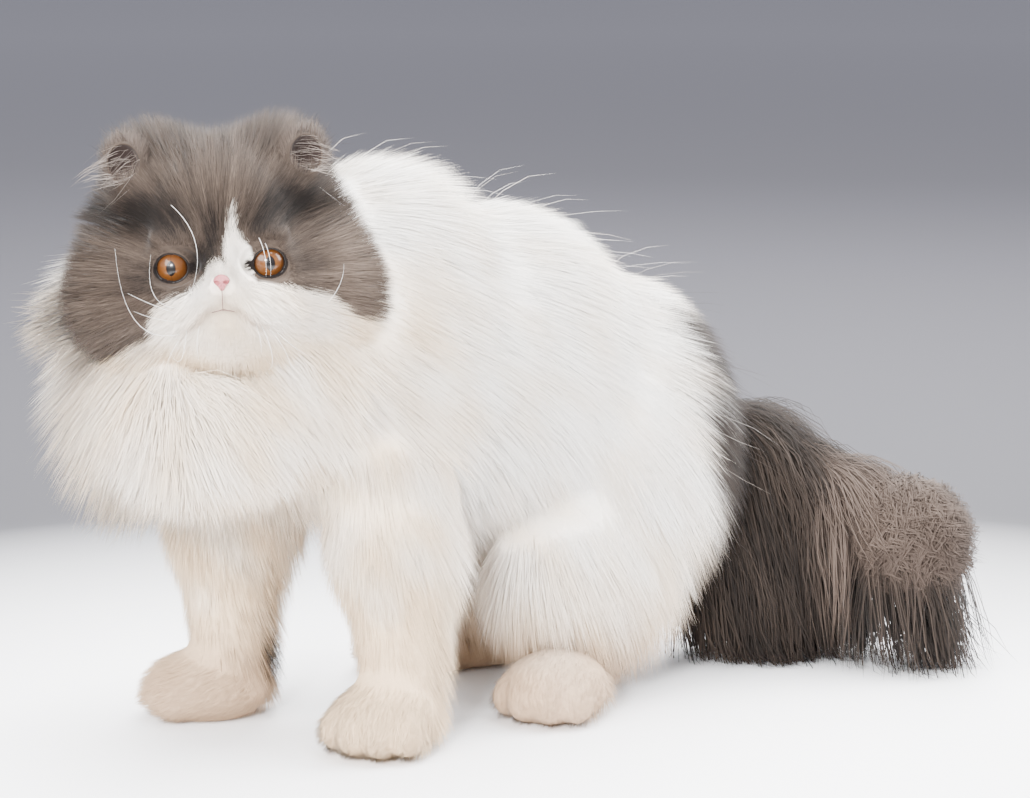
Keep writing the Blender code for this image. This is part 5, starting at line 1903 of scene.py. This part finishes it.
@dataclass
class Studio:
    """The camera where the photograph was taken from, a pale floor with a painted pool of light, and soft
    light.
    """

    shift: Array
    camera_at: tuple = (1.50822, -1.23112, 0.51993)
    camera_to: tuple = (0.07484, -0.02838, 0.19)
    lens: float = 118.6
    floor_size: float = 9.0
    lit_pool_at: tuple = (0.17, -0.14, 0.0)
    lit_pool_reach: float = 6.0
    # Painted light and shade on the floor: white round the cat, dark just beyond it, a paler blue grey far
    # off.
    lit_pool_tones: tuple = (
        (0.38, (250, 250, 252)), (0.8, (52, 51, 56)), (2.5, (72, 71, 77)), (6.0, (110, 109, 117)),
    )
    lit: tuple = (0.0, -0.05, 0.2)
    lights: tuple = (
        ("key", (1.35, -1.9, 1.11), 0.5, 140.0),
        ("side", (0.2, -2.0, 1.3), 1.2, 70.0),
        ("fill", (1.0, 1.7, 1.3), 1.5, 130.0),
        ("back", (-1.2, 1.3, 1.5), 1.2, 76.0),
        ("above", (-0.2, 0.2, 2.3), 2.4, 270.0),
    )
    sky: tuple = (170, 171, 178)
    sky_strength: float = 2.5

    def build(self) -> None:
        """Makes camera, floor, lights and sky."""
        self._camera()
        self._floor()
        self._lights()
        self._sky()

    @staticmethod
    def _aim(thing: bpy.types.Object, at: Vector, to: Vector) -> None:
        """Puts a camera or light somewhere and points it."""
        thing.location = at
        thing.rotation_euler = (to - at).to_track_quat("-Z", "Y").to_euler()

    def _camera(self) -> None:
        """The camera."""
        data = bpy.data.cameras.new("camera")
        data.lens, data.sensor_width = self.lens, 36.0
        data.clip_start, data.clip_end = 0.05, 50.0
        camera, shift = shown("camera", data), Vector(self.shift)
        self._aim(camera, Vector(self.camera_at) + shift, Vector(self.camera_to) + shift)
        bpy.context.scene.camera = camera

    def _floor(self) -> None:
        """The pale floor, with a painted pool of light round the cat and darker away from it."""
        bm = bmesh.new()
        bmesh.ops.create_circle(bm, cap_ends=True, segments=96, radius=self.floor_size)
        mesh = bpy.data.meshes.new("floor")
        bm.to_mesh(mesh)
        bm.free()
        mesh.materials.append(self._lit_pool_paint())
        shown("floor", mesh)

    def _lit_pool_paint(self) -> bpy.types.Material:
        """A painted pool of light: white under the cat, fading to a dark blue grey just beyond it as painted
        shade, and to a paler blue grey far off that is partly a backdrop's own colour and partly painted
        shade.
        """
        recipe = Recipe("floor_paint")
        away = recipe.add("VectorMath", operation="DISTANCE")
        away.inputs[1].default_value = self.lit_pool_at
        recipe.join(recipe.place(), away.inputs[0])
        share = recipe.sums("DIVIDE", away.outputs["Value"], self.lit_pool_reach)
        stops = [(reach / self.lit_pool_reach, linear(*tone)) for reach, tone in self.lit_pool_tones]
        recipe.join(recipe.ramp(share, stops), recipe.shader.inputs["Base Color"])
        recipe.settle({"Roughness": 0.7})
        return recipe.material

    def _lights(self) -> None:
        """A key and a softer light from the camera's left, a fill, a rim behind and a wide one above."""
        for name, at, size, power in self.lights:
            data = bpy.data.lights.new(name, "AREA")
            data.size, data.energy = size, power
            self._aim(shown(name, data), Vector(at), Vector(self.lit))

    def _sky(self) -> None:
        """The soft light all round."""
        world = bpy.data.worlds.new("sky")
        world.use_nodes = True
        background = world.node_tree.nodes["Background"]
        background.inputs["Color"].default_value = (*linear(*self.sky), 1.0)
        background.inputs["Strength"].default_value = self.sky_strength
        bpy.context.scene.world = world


def place(piece: bpy.types.Object, shift: Array, slot: Slot) -> None:
    """Moves a piece's mesh to where the frame has the cat and lets it ride."""
    piece.data.transform(Matrix.Translation(shift))
    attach(piece, BODY)
    LOG.info("%s: %d faces", piece.name, len(piece.data.polygons))


def main() -> None:
    """Builds the cat piece by piece round the frame, and its studio."""
    logging.basicConfig(level=logging.INFO, format="%(message)s")
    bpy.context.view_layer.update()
    head = Head()
    low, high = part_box("eye_left")
    shift = np.array((low + high) / 2.0 - Vector(head.left_eye_of_solids))
    flesh, markings = Flesh(head, Body()), Markings(head)
    skin = Skin(flesh).build()
    markings.paint_skin(skin, flesh)
    skin.data.materials.append(Hair("hide", bump=0.5).material())
    coat = Coat(head).build(Field(skin.data, flesh), Tufts(markings, Hair("coat").material()))
    features = Features(head, shift).build()
    for piece, slot in (*features, *coat, (skin, Slot.WHITE)):
        place(piece, shift, slot)
    hard = ("eye_left", "eye_right", "nose")
    for (piece, _), node in zip(features, hard):
        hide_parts(node)
    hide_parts(*(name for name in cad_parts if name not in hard))
    Studio(shift).build()


if __name__ == "__main__":
    main()
